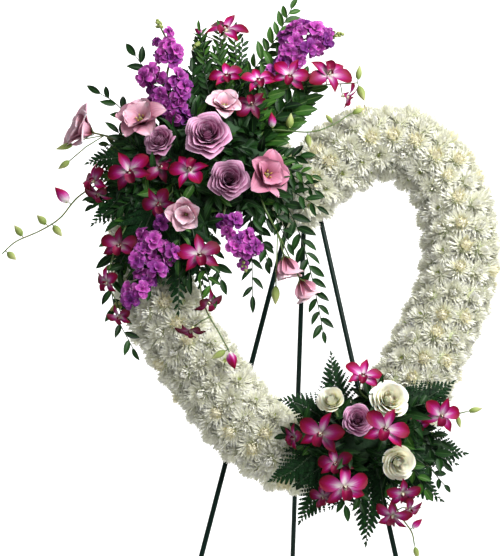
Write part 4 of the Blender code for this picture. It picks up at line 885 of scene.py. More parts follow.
def rose(pile, place, size, openness, tone, point):
    """A rose of wrapped petals; a whorl is count, reach, height, root height, lip, span and lean inwards."""
    here = np.array(place)
    rows, columns = 10, 11
    v = np.linspace(0, 1, rows)[:, None]
    u = np.linspace(-1, 1, columns)[None, :]
    turn = dice.uniform(0, math.tau)
    sheets, shades = [], []
    for k, (count, reach, height, low, lip, span, inwards) in enumerate(ROSE_WHORLS):
        turn += 2.4
        for n in range(count):
            middle = turn + math.tau * n / count + dice.uniform(-0.12, 0.12)
            grow = dice.uniform(0.96, 1.05)
            angle = middle + span * u * (0.45 + 0.55 * np.sin(np.pi / 2 * np.minimum(1, v * 1.4)))
            rise = v * (1 - 0.13 * np.abs(u) ** 2.2)
            flare = lip * openness * (1 + point * np.exp(-(u / 0.24) ** 2))
            spiral = 1 + 0.10 * u
            radius = reach * grow * spiral * (0.34 + 0.66 * rise ** 0.6) * (1 - inwards * rise ** 3)
            radius = radius + flare * rise ** 5 + 0.010 * np.sin(5 * u + middle * 7) * rise ** 3
            high = low + (height - low) * rise ** 1.1 - flare * 0.70 * rise ** 9
            high = high + dice.uniform(-0.02, 0.02) * v + 0.012 * np.sin(4 * u + middle * 3) * rise ** 3
            sheet = [radius * np.cos(angle), radius * np.sin(angle), high + 0 * angle]
            sheets.append(np.stack(sheet, axis=-1))
            # Inner whorls take lower shades than outer ones, so the heart of the rose is darker: painted
            # shade.
            shades.append(np.clip(tone + 0.04 * (k - 4) + dice.uniform(-0.16, 0.16), 0, 1))
    points = np.array(sheets) * size @ here[:3, :3].T + here[:3, 3]
    pile.grids(points, 0, np.array(shades))
    whorl(pile, place, np.arange(5) * math.tau / 5, math.radians(-20), size * 0.62, size * 0.20,
          ring=size * 0.14, height=-0.62 * size, shape="sepal", lift=0.5, curl=-0.6, cup=0.4, slot=1,
          shade=0.4)
    hip = [place @ Vector((0, 0, h * size)) for h in (-0.86, -0.74, -0.60, -0.46)]
    pile.tube(hip, np.array([0.07, 0.15, 0.20, 0.24]) * size, 10)


print("a rose has", sum(count for count, *_ in ROSE_WHORLS), "petals")

# %% [markdown]
# ## The seven roses
#
# Three lavender roses lead the upper spray, and three ivory ones and a small lavender one the lower. Each
# is a row of a table with its place, about half its width, the way it faces and its looks, because a table
# is quicker to set right against the photo than seven pieces of code.

# %% The seven roses
ROSE_PETALS = {"lavender_rose": lavender, "ivory_rose": ivory}
ROSES = (
    (top, "lavender_rose_1", (-0.181, 0.182, 0.158), 0.0440, (0.00, 0.10, 1), 10, 0.70, 1.00, 0.5),
    # The second lavender rose has a low tone: painted shade, as it sits in the shadow of the others.
    (top, "lavender_rose_2", (-0.140, 0.104, 0.148), 0.0380, (0.10, -0.10, 1), 40, 0.30, 1.00, 0.5),
    (top, "lavender_rose_3", (-0.266, 0.175, 0.137), 0.0310, (-0.35, 0.20, 1), 75, 0.55, 1.00, 0.5),
    (bottom, "ivory_rose_1", (0.045, -0.281, 0.134), 0.0285, (-0.25, 0.35, 1), 15, 0.70, 0.55, 0.1),
    (bottom, "ivory_rose_2", (0.146, -0.278, 0.136), 0.0385, (0.15, 0.20, 1), 50, 0.70, 0.80, 0.1),
    (bottom, "ivory_rose_3", (0.163, -0.386, 0.130), 0.0350, (0.20, -0.25, 1), 85, 0.70, 0.60, 0.1),
    (bottom, "lavender_rose_4", (0.091, -0.316, 0.146), 0.0310, (0.00, 0.05, 1), 25, 0.75, 0.80, 0.3),
)
for spray, name, at, size, lean, spin, tone, openness, point in ROSES:
    kind = name.rsplit("_", 1)[0]
    place = facing(spot(*at), spot(*lean), spin)
    pile = Pile()
    rose(pile, place, size, openness, tone, point)
    pile.tube(spray.stem(place @ Vector((0, 0, -0.5 * size))), ROSE_STEM)
    pile.build(f"bloom_{name}", [name], [ROSE_PETALS[kind], green_stem], kind)

# %% [markdown]
# ## Lisianthus
#
# Five broad petals open from a narrow base, and their rims wave. Four shorter ones stand more upright
# inside, round a green pistil and five yellow anthers. Petals this thin could be made as cloth. The blade's
# own wave looks the same and needs no simulation.

# %% Lisianthus
def lisianthus(pile, place, size, opening, tone):
    """A lisianthus; opening is 1 for a wide flower and less for a cup, tone runs from dark to light."""
    lean = math.radians(20 + 62 * (1 - opening))
    for count, reach, extra, lift in ((5, 1.32, 0.0, 0.0), (4, 1.12, 0.5, 0.45)):
        angles = (np.arange(count) + extra) * math.tau / count + dice.uniform(-0.16, 0.16, count)
        whorl(pile, place, angles, lean + lift + dice.uniform(-0.14, 0.14, count),
              size * reach * dice.uniform(0.90, 1.08, count), size * 1.18, ring=size * 0.06,
              height=-0.50 * size, shape="tulip", rows=11, columns=11, lift=0.50,
              curl=-0.45 - 0.4 * opening, cup=0.40, ruffle=0.045, waves=2.6, slot=0,
              shade=np.clip(tone + dice.uniform(-0.3, 0.3, count), 0, 1))
    at = np.array(place)
    low, high = (place @ Vector((0, 0, h * size)) for h in (-0.42, 0.02))
    eggs(pile, [low], [high], 0.20 * size, slot=2, shade=0.6)
    tips = np.arange(5) * math.tau / 5 + 0.3
    ends = np.stack([0.20 * np.cos(tips), 0.20 * np.sin(tips), 0 * tips + 0.02], axis=1) * size
    roots = np.stack([0.06 * np.cos(tips), 0.06 * np.sin(tips), 0 * tips - 0.40], axis=1) * size
    roots, ends = (a @ at[:3, :3].T + at[:3, 3] for a in (roots, ends))
    eggs(pile, roots + (ends - roots) * 0.6, ends, 0.07 * size, slot=3, shade=0.5, sides=6, rows=5)
    whorl(pile, place, np.arange(5) * math.tau / 5, 0.9, size * 0.55, size * 0.10, ring=size * 0.05,
          height=-0.62 * size, shape="sepal", lift=0.2, curl=-0.6, slot=1, shade=0.5)


pollen = stem_finish("yellow_pollen", (0.60, 0.42, 0.06), (0.75, 0.60, 0.14), 0.8)
LISIANTHUS = [pink, green_stem, bud_green, pollen]
for n, (at, size, lean, opening, spin, tone) in enumerate((
    ((-0.304, 0.222, 0.126), 0.039, (-0.35, 0.45, 1), 0.95, 20, 0.55),
    ((-0.153, 0.252, 0.122), 0.030, (0.15, 0.45, 1), 0.7, 50, 0.95),
    ((-0.070, 0.120, 0.132), 0.038, (0.55, 0.05, 1), 0.8, 10, 0.10),
    ((-0.214, 0.038, 0.148), 0.034, (-0.15, -0.35, 1), 0.55, 30, 0.90),
)):
    place = facing(spot(*at), spot(*lean), spin)
    pile = Pile()
    lisianthus(pile, place, size, opening, tone)
    pile.tube(top.stem(place @ Vector((0, 0, -0.5 * size))), FLOWER_STEM)
    pile.build(f"bloom_lisianthus_{n + 1}", [f"lisianthus_{n + 1}"], LISIANTHUS, "pink_lisianthus")

# %% [markdown]
# ## Lisianthus with buds
#
# Two stems fork. The one on the left carries a bloom and two long green buds in their sepals, and the one
# on the right carries two cups that hang down and a bud.

# %% Lisianthus with buds
side_place = facing(spot(-0.410, 0.206, 0.095), spot(-0.90, 0.20, 0.50), 15)
pile = Pile()
lisianthus(pile, side_place, 0.043, 0.72, 1.0)
fork = spot(-0.368, 0.196, 0.092)
pile.tube(top.stem(side_place @ Vector((0, 0, -0.015)), through=[fork], out=0.100), FLOWER_STEM)
for tip, share in ((spot(-0.456, 0.168, 0.090), 0.62), (spot(-0.450, 0.132, 0.086), 0.74)):
    start = fork.lerp(tip, share)
    pile.tube([fork, fork.lerp(tip, 0.4) + spot(0, 0.004, 0), start], 0.0012, 6)
    eggs(pile, [start], [tip], 0.012, slot=2, belly=0.4)
    way = np.array((tip - start).normalized())
    for turn in range(3):
        side = np.array(Matrix.Rotation(turn * 2.1, 3, Vector(way)) @ spot(0, 0, 1))
        blades(pile, [np.array(start)], [way + side * 0.35], [side], 0.020, 0.004, "sepal", slot=1)
pile.build("bloom_lisianthus_5", ["lisianthus_5"], LISIANTHUS, "pink_lisianthus")

pile = Pile()
fork = spot(-0.052, 0.020, 0.106)
pile.tube(top.stem(fork, through=[spot(-0.075, 0.060, 0.112)], out=0.104), FLOWER_STEM)
for at, size, opening in (((-0.034, -0.040, 0.098), 0.037, 0.40), ((-0.002, -0.077, 0.088), 0.033, 0.32)):
    place = facing(spot(*at), spot(*at) - fork, 20)
    lisianthus(pile, place, size, opening, 0.95)
    pile.tube([fork, place @ Vector((0, 0, -0.4 * size))], 0.0014, 6)
tip = spot(-0.053, -0.108, 0.088)
pile.tube([fork, fork.lerp(tip, 0.75)], 0.0013, 6)
eggs(pile, [fork.lerp(tip, 0.72)], [tip], 0.015, slot=2, belly=0.45)
pile.build("bloom_lisianthus_6", ["lisianthus_6"], LISIANTHUS, "pink_lisianthus")

# %% [markdown]
# ## Stock
#
# A spike of stock carries double florets, smaller ones towards its tip, and small buds at its end. A real
# spike grows unevenly, so the florets stand at the places seen in the photo and not at equal steps.

# %% Stock
def stock_floret(pile, place, size):
    """A double floret: three whorls of broad, waved petals, the inner ones smaller and more upright."""
    own = dice.uniform(0.1, 0.9)
    for count, reach, lift, extra in ((5, 1.0, 0.0, 0.0), (4, 0.80, 0.50, 0.5), (3, 0.56, 0.95, 0.2)):
        angles = (np.arange(count) + extra) * math.tau / count + dice.uniform(-0.30, 0.30, count)
        whorl(pile, place, angles, lift + dice.uniform(-0.35, 0.35, count), size * reach,
              size * 0.90 * reach, ring=size * 0.04, height=0.0, shape="fan", rows=7, columns=7, lift=0.40,
              curl=-0.80, cup=0.30, ruffle=0.15, waves=2.4, slot=0,
              shade=np.clip(own + dice.uniform(-0.35, 0.35, count), 0, 1))


def stock_spike(name, line, out, size, spots, small):
    """A spike: florets at the spots, small ones near its tip, and buds by the golden angle on its end."""
    path = smooth_path(top.stem(spot(*line[-1]), through=[spot(*p) for p in line[:-1]], out=0.098))
    pile = Pile()
    pile.tube(path, np.linspace(0.003, 0.0016, len(path)))
    for k, (x, z) in enumerate((*spots, *small)):
        full = k < len(spots)
        local = size * dice.uniform(0.88, 1.12) * (1.0 if full else 0.62)
        head = spot(x, z, (out if full else line[-1][2] + 0.010) + dice.uniform(-0.008, 0.010))
        near = Vector(path[np.argmin(np.linalg.norm(path - np.array(head), axis=1))])
        face = (head - near).normalized() + spot(0, 0, 1) * 0.8 + Vector(dice.uniform(-0.5, 0.5, 3))
        stock_floret(pile, facing(head, face, 50 * k), local)
        pile.tube([near, head], 0.0010, 5)
    for k, (at, way) in enumerate(zip(*along_path(path, np.linspace(0.93, 1.0, 10)))):
        side = Matrix.Rotation(GOLDEN * k, 3, Vector(way)) @ spot(0, 0, 1)
        end = Vector(at) + side * 0.010 * (1 - k / 12) + Vector(way) * 0.009
        eggs(pile, [at], [end], 0.0065, slot=2, shade=0.2)
    pile.build(f"spike_{name}", [name], [purple, green_stem, bud_green], "purple_stock")


print("the buds of a spike turn by", round(math.degrees(GOLDEN), 1), "degrees")

# %% [markdown]
# ## The four spikes of stock
#
# Two spikes stand up at the top of the upper spray, and two hang below its roses. A spike is given by its
# stem's line, how far out its florets stand, their size, and the places of the full florets and of the
# small ones near its tip.

# %% The four spikes of stock
stock_spike("purple_stock_1",
            line=((-0.232, 0.236, 0.108), (-0.258, 0.300, 0.100), (-0.254, 0.360, 0.090),
                  (-0.280, 0.420, 0.078)),
            out=0.112, size=0.0195,
            spots=((-0.289, 0.314), (-0.300, 0.299), (-0.285, 0.290), (-0.275, 0.307), (-0.236, 0.304),
                   (-0.224, 0.285), (-0.246, 0.289), (-0.232, 0.268), (-0.270, 0.265), (-0.284, 0.254),
                   (-0.258, 0.243), (-0.236, 0.247), (-0.222, 0.232), (-0.244, 0.224), (-0.258, 0.363),
                   (-0.243, 0.352), (-0.266, 0.346), (-0.252, 0.336)),
            small=((-0.258, 0.399), (-0.281, 0.378)))
stock_spike("purple_stock_2",
            line=((-0.100, 0.270, 0.094), (-0.052, 0.350, 0.092), (-0.010, 0.388, 0.092),
                  (0.056, 0.402, 0.086)),
            out=0.104, size=0.0185,
            spots=((-0.030, 0.408), (-0.013, 0.412), (0.009, 0.402), (0.026, 0.394), (-0.020, 0.395),
                   (-0.044, 0.393), (-0.029, 0.378), (-0.040, 0.357), (-0.020, 0.360), (-0.003, 0.362),
                   (0.016, 0.370), (0.030, 0.380), (-0.050, 0.340), (-0.024, 0.342), (-0.066, 0.322),
                   (0.010, 0.386)),
            small=((0.034, 0.398),))
stock_spike("purple_stock_3",
            line=((-0.250, 0.020, 0.108), (-0.268, -0.030, 0.112), (-0.290, -0.088, 0.106),
                  (-0.338, -0.122, 0.096)),
            out=0.124, size=0.0180,
            spots=((-0.292, 0.005), (-0.288, -0.022), (-0.300, -0.042), (-0.292, -0.063), (-0.278, -0.077),
                   (-0.309, -0.096), (-0.288, -0.095), (-0.247, -0.017), (-0.250, -0.042), (-0.262, -0.057),
                   (-0.234, -0.026), (-0.306, -0.114), (-0.258, 0.028), (-0.272, -0.036), (-0.270, -0.006)),
            small=((-0.318, -0.104),))
stock_spike("purple_stock_4",
            line=((-0.148, 0.052, 0.108), (-0.128, 0.005, 0.110), (-0.108, -0.045, 0.102)),
            out=0.118, size=0.0180,
            spots=((-0.127, 0.038), (-0.140, 0.016), (-0.114, 0.002), (-0.090, -0.010), (-0.125, -0.012),
                   (-0.150, 0.034), (-0.102, 0.008), (-0.106, -0.016)),
            small=((-0.112, -0.040),))

# %% [markdown]
# ## Dendrobium orchids
#
# An orchid has one sepal up and two down, two broad petals, and a lip under its short white column. Its
# petals reach about a quarter past its written size. Each kind of petal is a whorl of its own, because a
# bloom has only one line of symmetry, and a few degrees of chance keep two blooms from looking the same.

# %% One orchid
PETAL_REACH = 1.27


def orchid(pile, place, size, tone=None):
    """A dendrobium bloom that faces its frame's third axis, its top sepal along the second."""
    size = size * PETAL_REACH
    # A chosen tone is partly the bloom's own and partly painted shade: the low ones darken deep-set blooms.
    own = dice.uniform(0.30, 0.90) if tone is None else tone
    sepals = np.radians([90, 213, 327]) + dice.uniform(-0.16, 0.16, 3)
    whorl(pile, place, sepals, 0.14 + dice.uniform(-0.28, 0.28, 3), size * np.array([1.0, 0.98, 0.98]),
          size * 0.44, ring=size * 0.02, height=-0.02 * size, loose=0.25, shape="sepal", rows=9, columns=7,
          lift=0.34, curl=-0.55, cup=0.34, slot=0, shade=np.clip(own + dice.uniform(-0.15, 0.35, 3), 0, 1))
    whorl(pile, place, np.radians([22, 158]) + dice.uniform(-0.14, 0.14, 2),
          0.18 + dice.uniform(-0.26, 0.26, 2), size * 1.02, size * 0.68, ring=size * 0.02,
          height=0.02 * size, loose=0.22, shape="fan", rows=10, columns=9, lift=0.30, curl=-0.55, cup=0.24,
          ruffle=0.028, slot=0, shade=np.clip(own + dice.uniform(-0.25, 0.2, 2), 0, 1))
    whorl(pile, place, np.radians([270]), np.array([0.50]), size * 0.66, size * 0.46, height=0.02 * size,
          shape="fan", rows=9, columns=9, lift=0.80, curl=-1.20, cup=0.75, ruffle=0.02, slot=1, shade=own)
    whorl(pile, place, np.radians([240, 300]), np.array([0.85, 0.85]), size * 0.32, size * 0.28,
          ring=size * 0.05, height=0.02 * size, shape="fan", rows=6, columns=5, lift=0.6, curl=0.9, cup=0.5,
          slot=1, shade=0.6)
    back, tip = (place @ (Vector(p) * size) for p in ((0, -0.02, -0.10), (0, -0.08, 0.28)))
    eggs(pile, [back], [tip], 0.20 * size, slot=2, shade=0.8)
    root, end = (place @ (Vector(p) * size) for p in ((0, 0, 0.02), (0, -0.22, -0.34)))
    eggs(pile, [root], [end], 0.20 * size, slot=2, shade=0.4)


print("an orchid's petals reach", PETAL_REACH, "times its size")

# %% [markdown]
# ## Orchid sprays
#
# The blooms hang by thin stalks on one arching stem, each from the nearest place on it. Towards the tip of
# the spray the flowers are still buds, and a thick first bud already has its colour. Stem, stalks and
# blooms are one piece, as a florist handles them.

# %% Orchid sprays
def orchid_spray(spray, name, line, blooms, buds=(), out=0.100, depth=STEM_STOP):
    """Blooms (place, size, facing, spin, and a shade if it is chosen) and buds (place, width, length).

    A low chosen shade darkens a bloom set deep among the others: painted shade.
    """
    path = spray.stem(spot(*line[-1]), through=[spot(*p) for p in line[:-1]], out=out, depth=depth)
    marks, _ = along_path([tuple(p) for p in path], np.arange(6, 41) / 40)
    pile = Pile()
    stem = smooth_path(path) if len(path) > 2 else np.array([tuple(p) for p in path])
    pile.tube(stem, np.linspace(0.0018, 0.0012, len(stem)), 8, 3)
    # A fifth number is a chosen shade; the low ones are painted shade on deep-set blooms.
    for at, size, lean, spin, *tone in blooms:
        tilt = Vector(dice.uniform(-0.22, 0.22, 3))
        place = facing(spot(*at), spot(*lean).normalized() + tilt, spin + dice.uniform(-22, 22))
        back = np.array(place @ Vector((0, -0.16 * size, -0.28 * size)))
        near = marks[np.argmin(np.linalg.norm(marks - back, axis=1))]
        pile.tube([near, (near + back) / 2 + (0, 0, 0.002), back], 0.0011, 6, 3)
        orchid(pile, place, size, *tone)
    for k, (at, width, length) in enumerate(buds):
        tip = np.array(spot(*at))
        near = marks[np.argmin(np.linalg.norm(marks - tip, axis=1))]
        way = tip - near
        if np.linalg.norm(way) < 0.006:
            way = np.array((path[-1] - path[-2]).normalized()) * length
        way = way * max(1.0, 1.1 * length / np.linalg.norm(way))
        stalk = max(0.15, 1 - length / max(np.linalg.norm(way), length))
        pile.tube([near, near + way * stalk], 0.0009, 6, 3)
        slot = 0 if width > 0.0115 and k == 0 else 4
        eggs(pile, [near + way * stalk * 0.9], [near + way], width, slot=slot, shade=0.7, belly=0.4)
        eggs(pile, [near + way * (stalk + 0.05)], [near + way * (stalk + 0.22) + (0, 0, -0.004)],
             width * 0.5, slot=4, shade=0.5)
    pile.build(f"spray_{name}", [name], [magenta, magenta_lip, orchid_white, green_stem, bud_green],
               "magenta_orchid")


print("a bud with colour has the material", magenta.name)

# %% [markdown]
# ## Orchids of the upper spray
#
# Seven branches reach out of the upper foam. The longest hangs far out to the left and ends in loose buds,
# and the last one has only buds. Their places are chosen against the photo, because an arrangement has no
# rule that a formula could follow.

# %% Orchids of the upper spray
orchid_spray(top, "orchid_spray_1", out=0.096,
             line=((-0.176, 0.300, 0.088), (-0.160, 0.372, 0.082), (-0.196, 0.398, 0.078)),
             blooms=(((-0.154, 0.404, 0.084), 0.033, (0.05, 0.60, 0.80), 0, 0.5),
                     ((-0.150, 0.306, 0.112), 0.026, (-0.3, 0.1, 1), 10)),
             buds=(((-0.194, 0.392, 0.080), 0.012, 0.024), ((-0.216, 0.364, 0.084), 0.012, 0.024)))
orchid_spray(top, "orchid_spray_2", out=0.104,
             line=((-0.088, 0.262, 0.104), (-0.040, 0.288, 0.104), (0.020, 0.298, 0.100),
                   (0.088, 0.306, 0.095)),
             blooms=(((-0.092, 0.296, 0.120), 0.026, (-0.2, 0.2, 1), 5),
                     ((-0.036, 0.306, 0.122), 0.028, (0.1, 0.1, 1), 0),
                     ((0.034, 0.312, 0.118), 0.035, (0.2, 0.2, 1), 175),
                     ((0.068, 0.276, 0.108), 0.024, (1, -0.5, 0.3), 0),
                     ((-0.104, 0.254, 0.114), 0.026, (0.2, -0.3, 1), 200, 0.05)),
             buds=(((0.090, 0.322, 0.095), 0.0114, 0.032), ((0.094, 0.290, 0.095), 0.015, 0.034)))
orchid_spray(top, "orchid_spray_3", out=0.098,
             line=((-0.340, 0.116, 0.108), (-0.405, 0.082, 0.100), (-0.441, 0.041, 0.090),
                   (-0.477, 0.019, 0.080), (-0.520, 0.000, 0.072), (-0.545, -0.022, 0.066)),
             blooms=(((-0.316, 0.118, 0.132), 0.033, (-0.2, 0.1, 1), 10),
                     ((-0.380, 0.104, 0.116), 0.029, (-1, 0.1, 0.6), 0),
                     ((-0.372, 0.082, 0.112), 0.022, (-0.5, -0.8, 0.5), 0, 0.1),
                     ((-0.264, 0.128, 0.128), 0.026, (0.2, 0.2, 1), 60, 0.0)),
             buds=(((-0.438, 0.080, 0.102), 0.021, 0.040), ((-0.447, 0.020, 0.088), 0.014, 0.030),
                   ((-0.470, 0.034, 0.082), 0.014, 0.028), ((-0.514, 0.016, 0.074), 0.013, 0.028),
                   ((-0.530, -0.024, 0.070), 0.013, 0.026)))
orchid_spray(top, "orchid_spray_4", out=0.094,
             line=((-0.240, 0.085, 0.126),),
             blooms=(((-0.209, 0.116, 0.156), 0.030, (0, 0, 1), 150),
                     ((-0.262, 0.060, 0.138), 0.027, (-0.4, -0.4, 1), 15, 0.35)))
orchid_spray(top, "orchid_spray_5", out=0.099,
             line=((-0.196, -0.020, 0.106), (-0.180, -0.110, 0.108), (-0.150, -0.165, 0.106),
                   (-0.134, -0.192, 0.104)),
             blooms=(((-0.189, -0.029, 0.126), 0.032, (0, -0.2, 1), 0),
                     ((-0.172, -0.112, 0.120), 0.023, (0.7, -0.7, 0.35), 40, 0.05),
                     ((-0.200, -0.160, 0.114), 0.023, (-0.3, -0.9, 0.35), 0, 0.05)),
             buds=(((-0.130, -0.203, 0.104), 0.019, 0.034), ((-0.164, -0.210, 0.104), 0.012, 0.030)))
orchid_spray(top, "orchid_spray_6", out=0.100,
             line=((-0.318, 0.030, 0.108), (-0.345, -0.040, 0.106), (-0.350, -0.080, 0.104)),
             blooms=(((-0.330, -0.014, 0.120), 0.028, (-0.4, 0, 1), 0, 0.1),
                     ((-0.350, -0.078, 0.112), 0.024, (-1.0, -0.3, 0.45), 0),
                     ((-0.326, -0.138, 0.108), 0.020, (-0.5, -0.9, 0.4), 0, 0.3)))
orchid_spray(top, "orchid_spray_7", out=0.106,
             line=((-0.071, 0.207, 0.112), (0.000, 0.206, 0.110), (0.040, 0.220, 0.106),
                   (0.075, 0.245, 0.100)),
             blooms=(),
             buds=(((-0.066, 0.222, 0.118), 0.015, 0.030), ((-0.034, 0.224, 0.114), 0.014, 0.030),
                   ((0.000, 0.190, 0.110), 0.012, 0.028), ((0.036, 0.234, 0.106), 0.009, 0.022),
                   ((0.082, 0.248, 0.100), 0.011, 0.026)))
branches = [piece.name for piece in bpy.data.objects if piece.name.startswith("spray_")]
print("the upper spray has", len(branches), "branches of orchids")

# %% [markdown]
# ## Orchids of the lower spray
#
# Six shorter branches stand out all round the ivory roses, and two of them end in buds.

# %% Orchids of the lower spray
orchid_spray(bottom, "orchid_spray_8", out=0.094,
             line=((0.050, -0.330, 0.118), (0.000, -0.345, 0.108)),
             blooms=(((0.030, -0.341, 0.142), 0.033, (-0.2, -0.1, 1), 0),
                     ((-0.014, -0.345, 0.116), 0.023, (-0.9, 0.1, 0.6), 0, 0.3)))
orchid_spray(bottom, "orchid_spray_9", out=0.094, depth=0.030,
             line=((0.116, -0.330, 0.140),),
             blooms=(((0.137, -0.334, 0.168), 0.033, (0.1, 0, 1), 0),))
orchid_spray(bottom, "orchid_spray_10", out=0.090,
             line=((0.066, -0.390, 0.106), (0.068, -0.425, 0.110), (0.060, -0.452, 0.108)),
             blooms=(((0.070, -0.430, 0.136), 0.034, (0.1, -0.3, 1), 20, 0.5),
                     ((0.056, -0.390, 0.134), 0.026, (-0.3, 0.1, 1), 0, 0.1),
                     ((0.036, -0.446, 0.116), 0.021, (-0.5, -0.4, 0.8), 0, 0.2)))
orchid_spray(bottom, "orchid_spray_11", out=0.090,
             line=((0.186, -0.312, 0.104), (0.240, -0.302, 0.106), (0.282, -0.292, 0.104)),
             blooms=(((0.236, -0.302, 0.124), 0.028, (0.4, 0, 1), 0),
                     ((0.198, -0.318, 0.108), 0.018, (0, -0.4, 1), 20)),
             buds=(((0.286, -0.291, 0.104), 0.010, 0.028), ((0.270, -0.312, 0.104), 0.009, 0.024)))
orchid_spray(bottom, "orchid_spray_12", out=0.092,
             line=((0.150, -0.430, 0.104), (0.166, -0.470, 0.106), (0.188, -0.500, 0.100),
                   (0.194, -0.522, 0.095)),
             blooms=(((0.170, -0.436, 0.126), 0.025, (0.4, -0.6, 0.8), 20),
                     ((0.156, -0.474, 0.116), 0.026, (-0.4, -0.6, 0.8), 0, 0.5),
                     ((0.184, -0.462, 0.110), 0.021, (0.6, -0.5, 0.6), 0, 0.3)),
             buds=(((0.194, -0.490, 0.104), 0.012, 0.026), ((0.196, -0.526, 0.095), 0.010, 0.024)))
orchid_spray(bottom, "orchid_spray_13", out=0.092,
             line=((0.098, -0.262, 0.108), (0.100, -0.236, 0.108)),
             blooms=(((0.101, -0.238, 0.122), 0.028, (0, 0.35, 1), 0, 0.8),))

# %% [markdown]
# ## Leafy stems
#
# A leafy stem has broad folded leaves by turns to its left and right, and one at its end. The foliage could
# be one closed green form, but light has to fall between the leaves.

# %% Leafy stems
UP = np.array(spot(0, 0, 1))
THICKET_OUT = 0.090
FOLIAGE = [dark_leaf, fern_leaf, dark_stem, bright_leaf]


def leafy_stem(pile, points, leaves, length, width, bare, slot):
    """Broad pointed leaves by turns to both sides of a stem.

    They stand at equal steps past 0.75 * bare, and their length goes with 1.05 - 0.35 * share.
    """
    path = smooth_path(points)
    pile.tube(path, np.linspace(0.0018, 0.0008, len(path)), 6, 2)
    count = leaves * 2
    share = bare * 0.75 + (0.985 - bare * 0.75) * np.arange(count) / (count - 1)
    places, ways = along_path(path, share)
    turn = np.where(np.arange(count) % 2 == 0, 1.0, -1.0)
    side = unit(np.cross(ways, UP)) * turn[:, None]
    out = ways * 0.85 + side * 0.75 + UP * dice.uniform(-0.25, 0.55, count)[:, None]
    out[-1] = ways[-1]
    face = UP + ways * -0.2 + dice.uniform(-0.45, 0.45, (count, 3))
    grow = dice.uniform(0.82, 1.12, count) * (1.05 - 0.35 * share)
    blades(pile, places, out, face, length * 1.15 * grow, width * 1.15 * grow, "leaf", rows=8, columns=5,
           lift=0.15, curl=-0.40, cup=0.15, fold=0.25, slot=slot, shade=dice.uniform(0.0, 1.0, count))


print("the foliage has", len(FOLIAGE), "materials")

# %% [markdown]
# ## Leaves that fill the gaps
#
# Behind the blooms of a real spray there is always more green. Here it is rosettes behind the blooms, loose
# leaves over the foam, and short leafy stems out of it. Most take the dark leaf and a few the bright one,
# which is why the slots repeat. The rosettes and the loose leaves take lower shades than the stems, a
# painted shade deep in the spray.

# %% Leaves that fill the gaps
def rosette(pile, at, way, count, length, width, slots=(0, 0, 0, 0, 3)):
    """Loose leaves all round a stem behind its bloom, the n-th at n times the golden angle."""
    at, way = np.array(at), unit(np.array(way))
    helper = np.array([0, 0, 1.0]) if abs(way[2]) < 0.7 else np.array([1.0, 0, 0])
    one = unit(np.cross(way, helper))
    two = np.cross(way, one)
    angle = np.arange(count) * GOLDEN + dice.uniform(0, math.tau)
    out = np.cos(angle)[:, None] * one + np.sin(angle)[:, None] * two
    root = at - way * dice.uniform(0.0, 0.022, count)[:, None]
    heading = out + way * dice.uniform(-0.15, 0.55, count)[:, None]
    grow = dice.uniform(0.75, 1.25, count)
    slot_of = dice.integers(0, len(slots), count)
    for n, slot in enumerate(slots):
        chosen = slot_of == n
        if chosen.any():
            # Rosette leaves take shades up to 0.9 only, darker than the leafy stems: painted shade deep in
            # the spray.
            blades(pile, root[chosen], heading[chosen], (way + out * -0.3)[chosen], length * grow[chosen],
                   width * grow[chosen], "leaf", rows=8, columns=5, lift=0.1, curl=-0.5, cup=0.15,
                   fold=0.25, slot=slot, shade=dice.uniform(0.0, 0.9, chosen.sum()))


def rosettes(pile, places, count, length, width):
    """A rosette at each place, leaning a little to any side."""
    for x, z, out in places:
        way = spot(dice.uniform(-0.3, 0.3), dice.uniform(-0.3, 0.3), 1)
        rosette(pile, spot(x, z, out), way, count, length, width)


def cover(pile, span, count):
    """Leaves that lie over a spray's foam, root inwards, tips past its edges."""
    for _ in range(count):
        tile = span[0] + 0.1 + (span[1] - span[0] - 0.2) * dice.random()
        turn = dice.uniform(-1.9, 1.9)
        base = on_ring(tile, 0.040 * math.sin(turn) * 0.9, 0.098 + 0.026 * math.cos(turn))
        middle = on_ring(tile, 0.0, 0.085)
        out = (base - middle).normalized()
        aside = (on_ring(tile + 0.2, 0.0, 0.085) - middle).normalized() * dice.choice([-1.0, 1.0])
        heading = out * 0.55 + aside * dice.uniform(0.2, 1.2) + Vector(dice.uniform(-0.4, 0.4, 3))
        # Leaves over the foam take shades up to 0.8 only: painted shade deep in the spray.
        blades(pile, [base], [heading], [out + Vector(dice.uniform(-0.3, 0.3, 3))],
               dice.uniform(0.030, 0.052), dice.uniform(0.010, 0.015), "leaf", rows=7, columns=5, lift=0.35,
               curl=-0.55, cup=0.1, fold=0.22, shade=dice.uniform(0.0, 0.8))


def thicket(pile, spray, targets, leaves, length, width, slots=(0, 0, 0, 0, 0, 3)):
    """Short leafy stems from the foam to each target."""
    for target in targets:
        head = spot(*target)
        root = min(spray.spine, key=lambda p: (p - head).length).copy()
        root.y = -THICKET_OUT
        middle = root.lerp(head, 0.5) + Vector(dice.uniform(-0.012, 0.012, 3)) + spot(0, 0, 0.008)
        leafy_stem(pile, (root, middle, head), leaves, length * dice.uniform(0.85, 1.15),
                   width * dice.uniform(0.85, 1.1), 0.25, slots[int(dice.integers(0, len(slots)))])


print("the thicket's stems start", round(THICKET_OUT * 1000), "mm out")

# %% [markdown]
# ## Ferns
#
# A frond could be one flat blade with a fern drawn on it, but its outline shows against the white backdrop,
# so it is cut out leaf by leaf. It is a fern of a fern: leaflets stand along its rib, and small lobes stand
# along each leaflet. The leaflets grow a little over the first fifth of the blade, and then get shorter all
# the way to the tip.

# %% Ferns
FERN_LOBES = 8


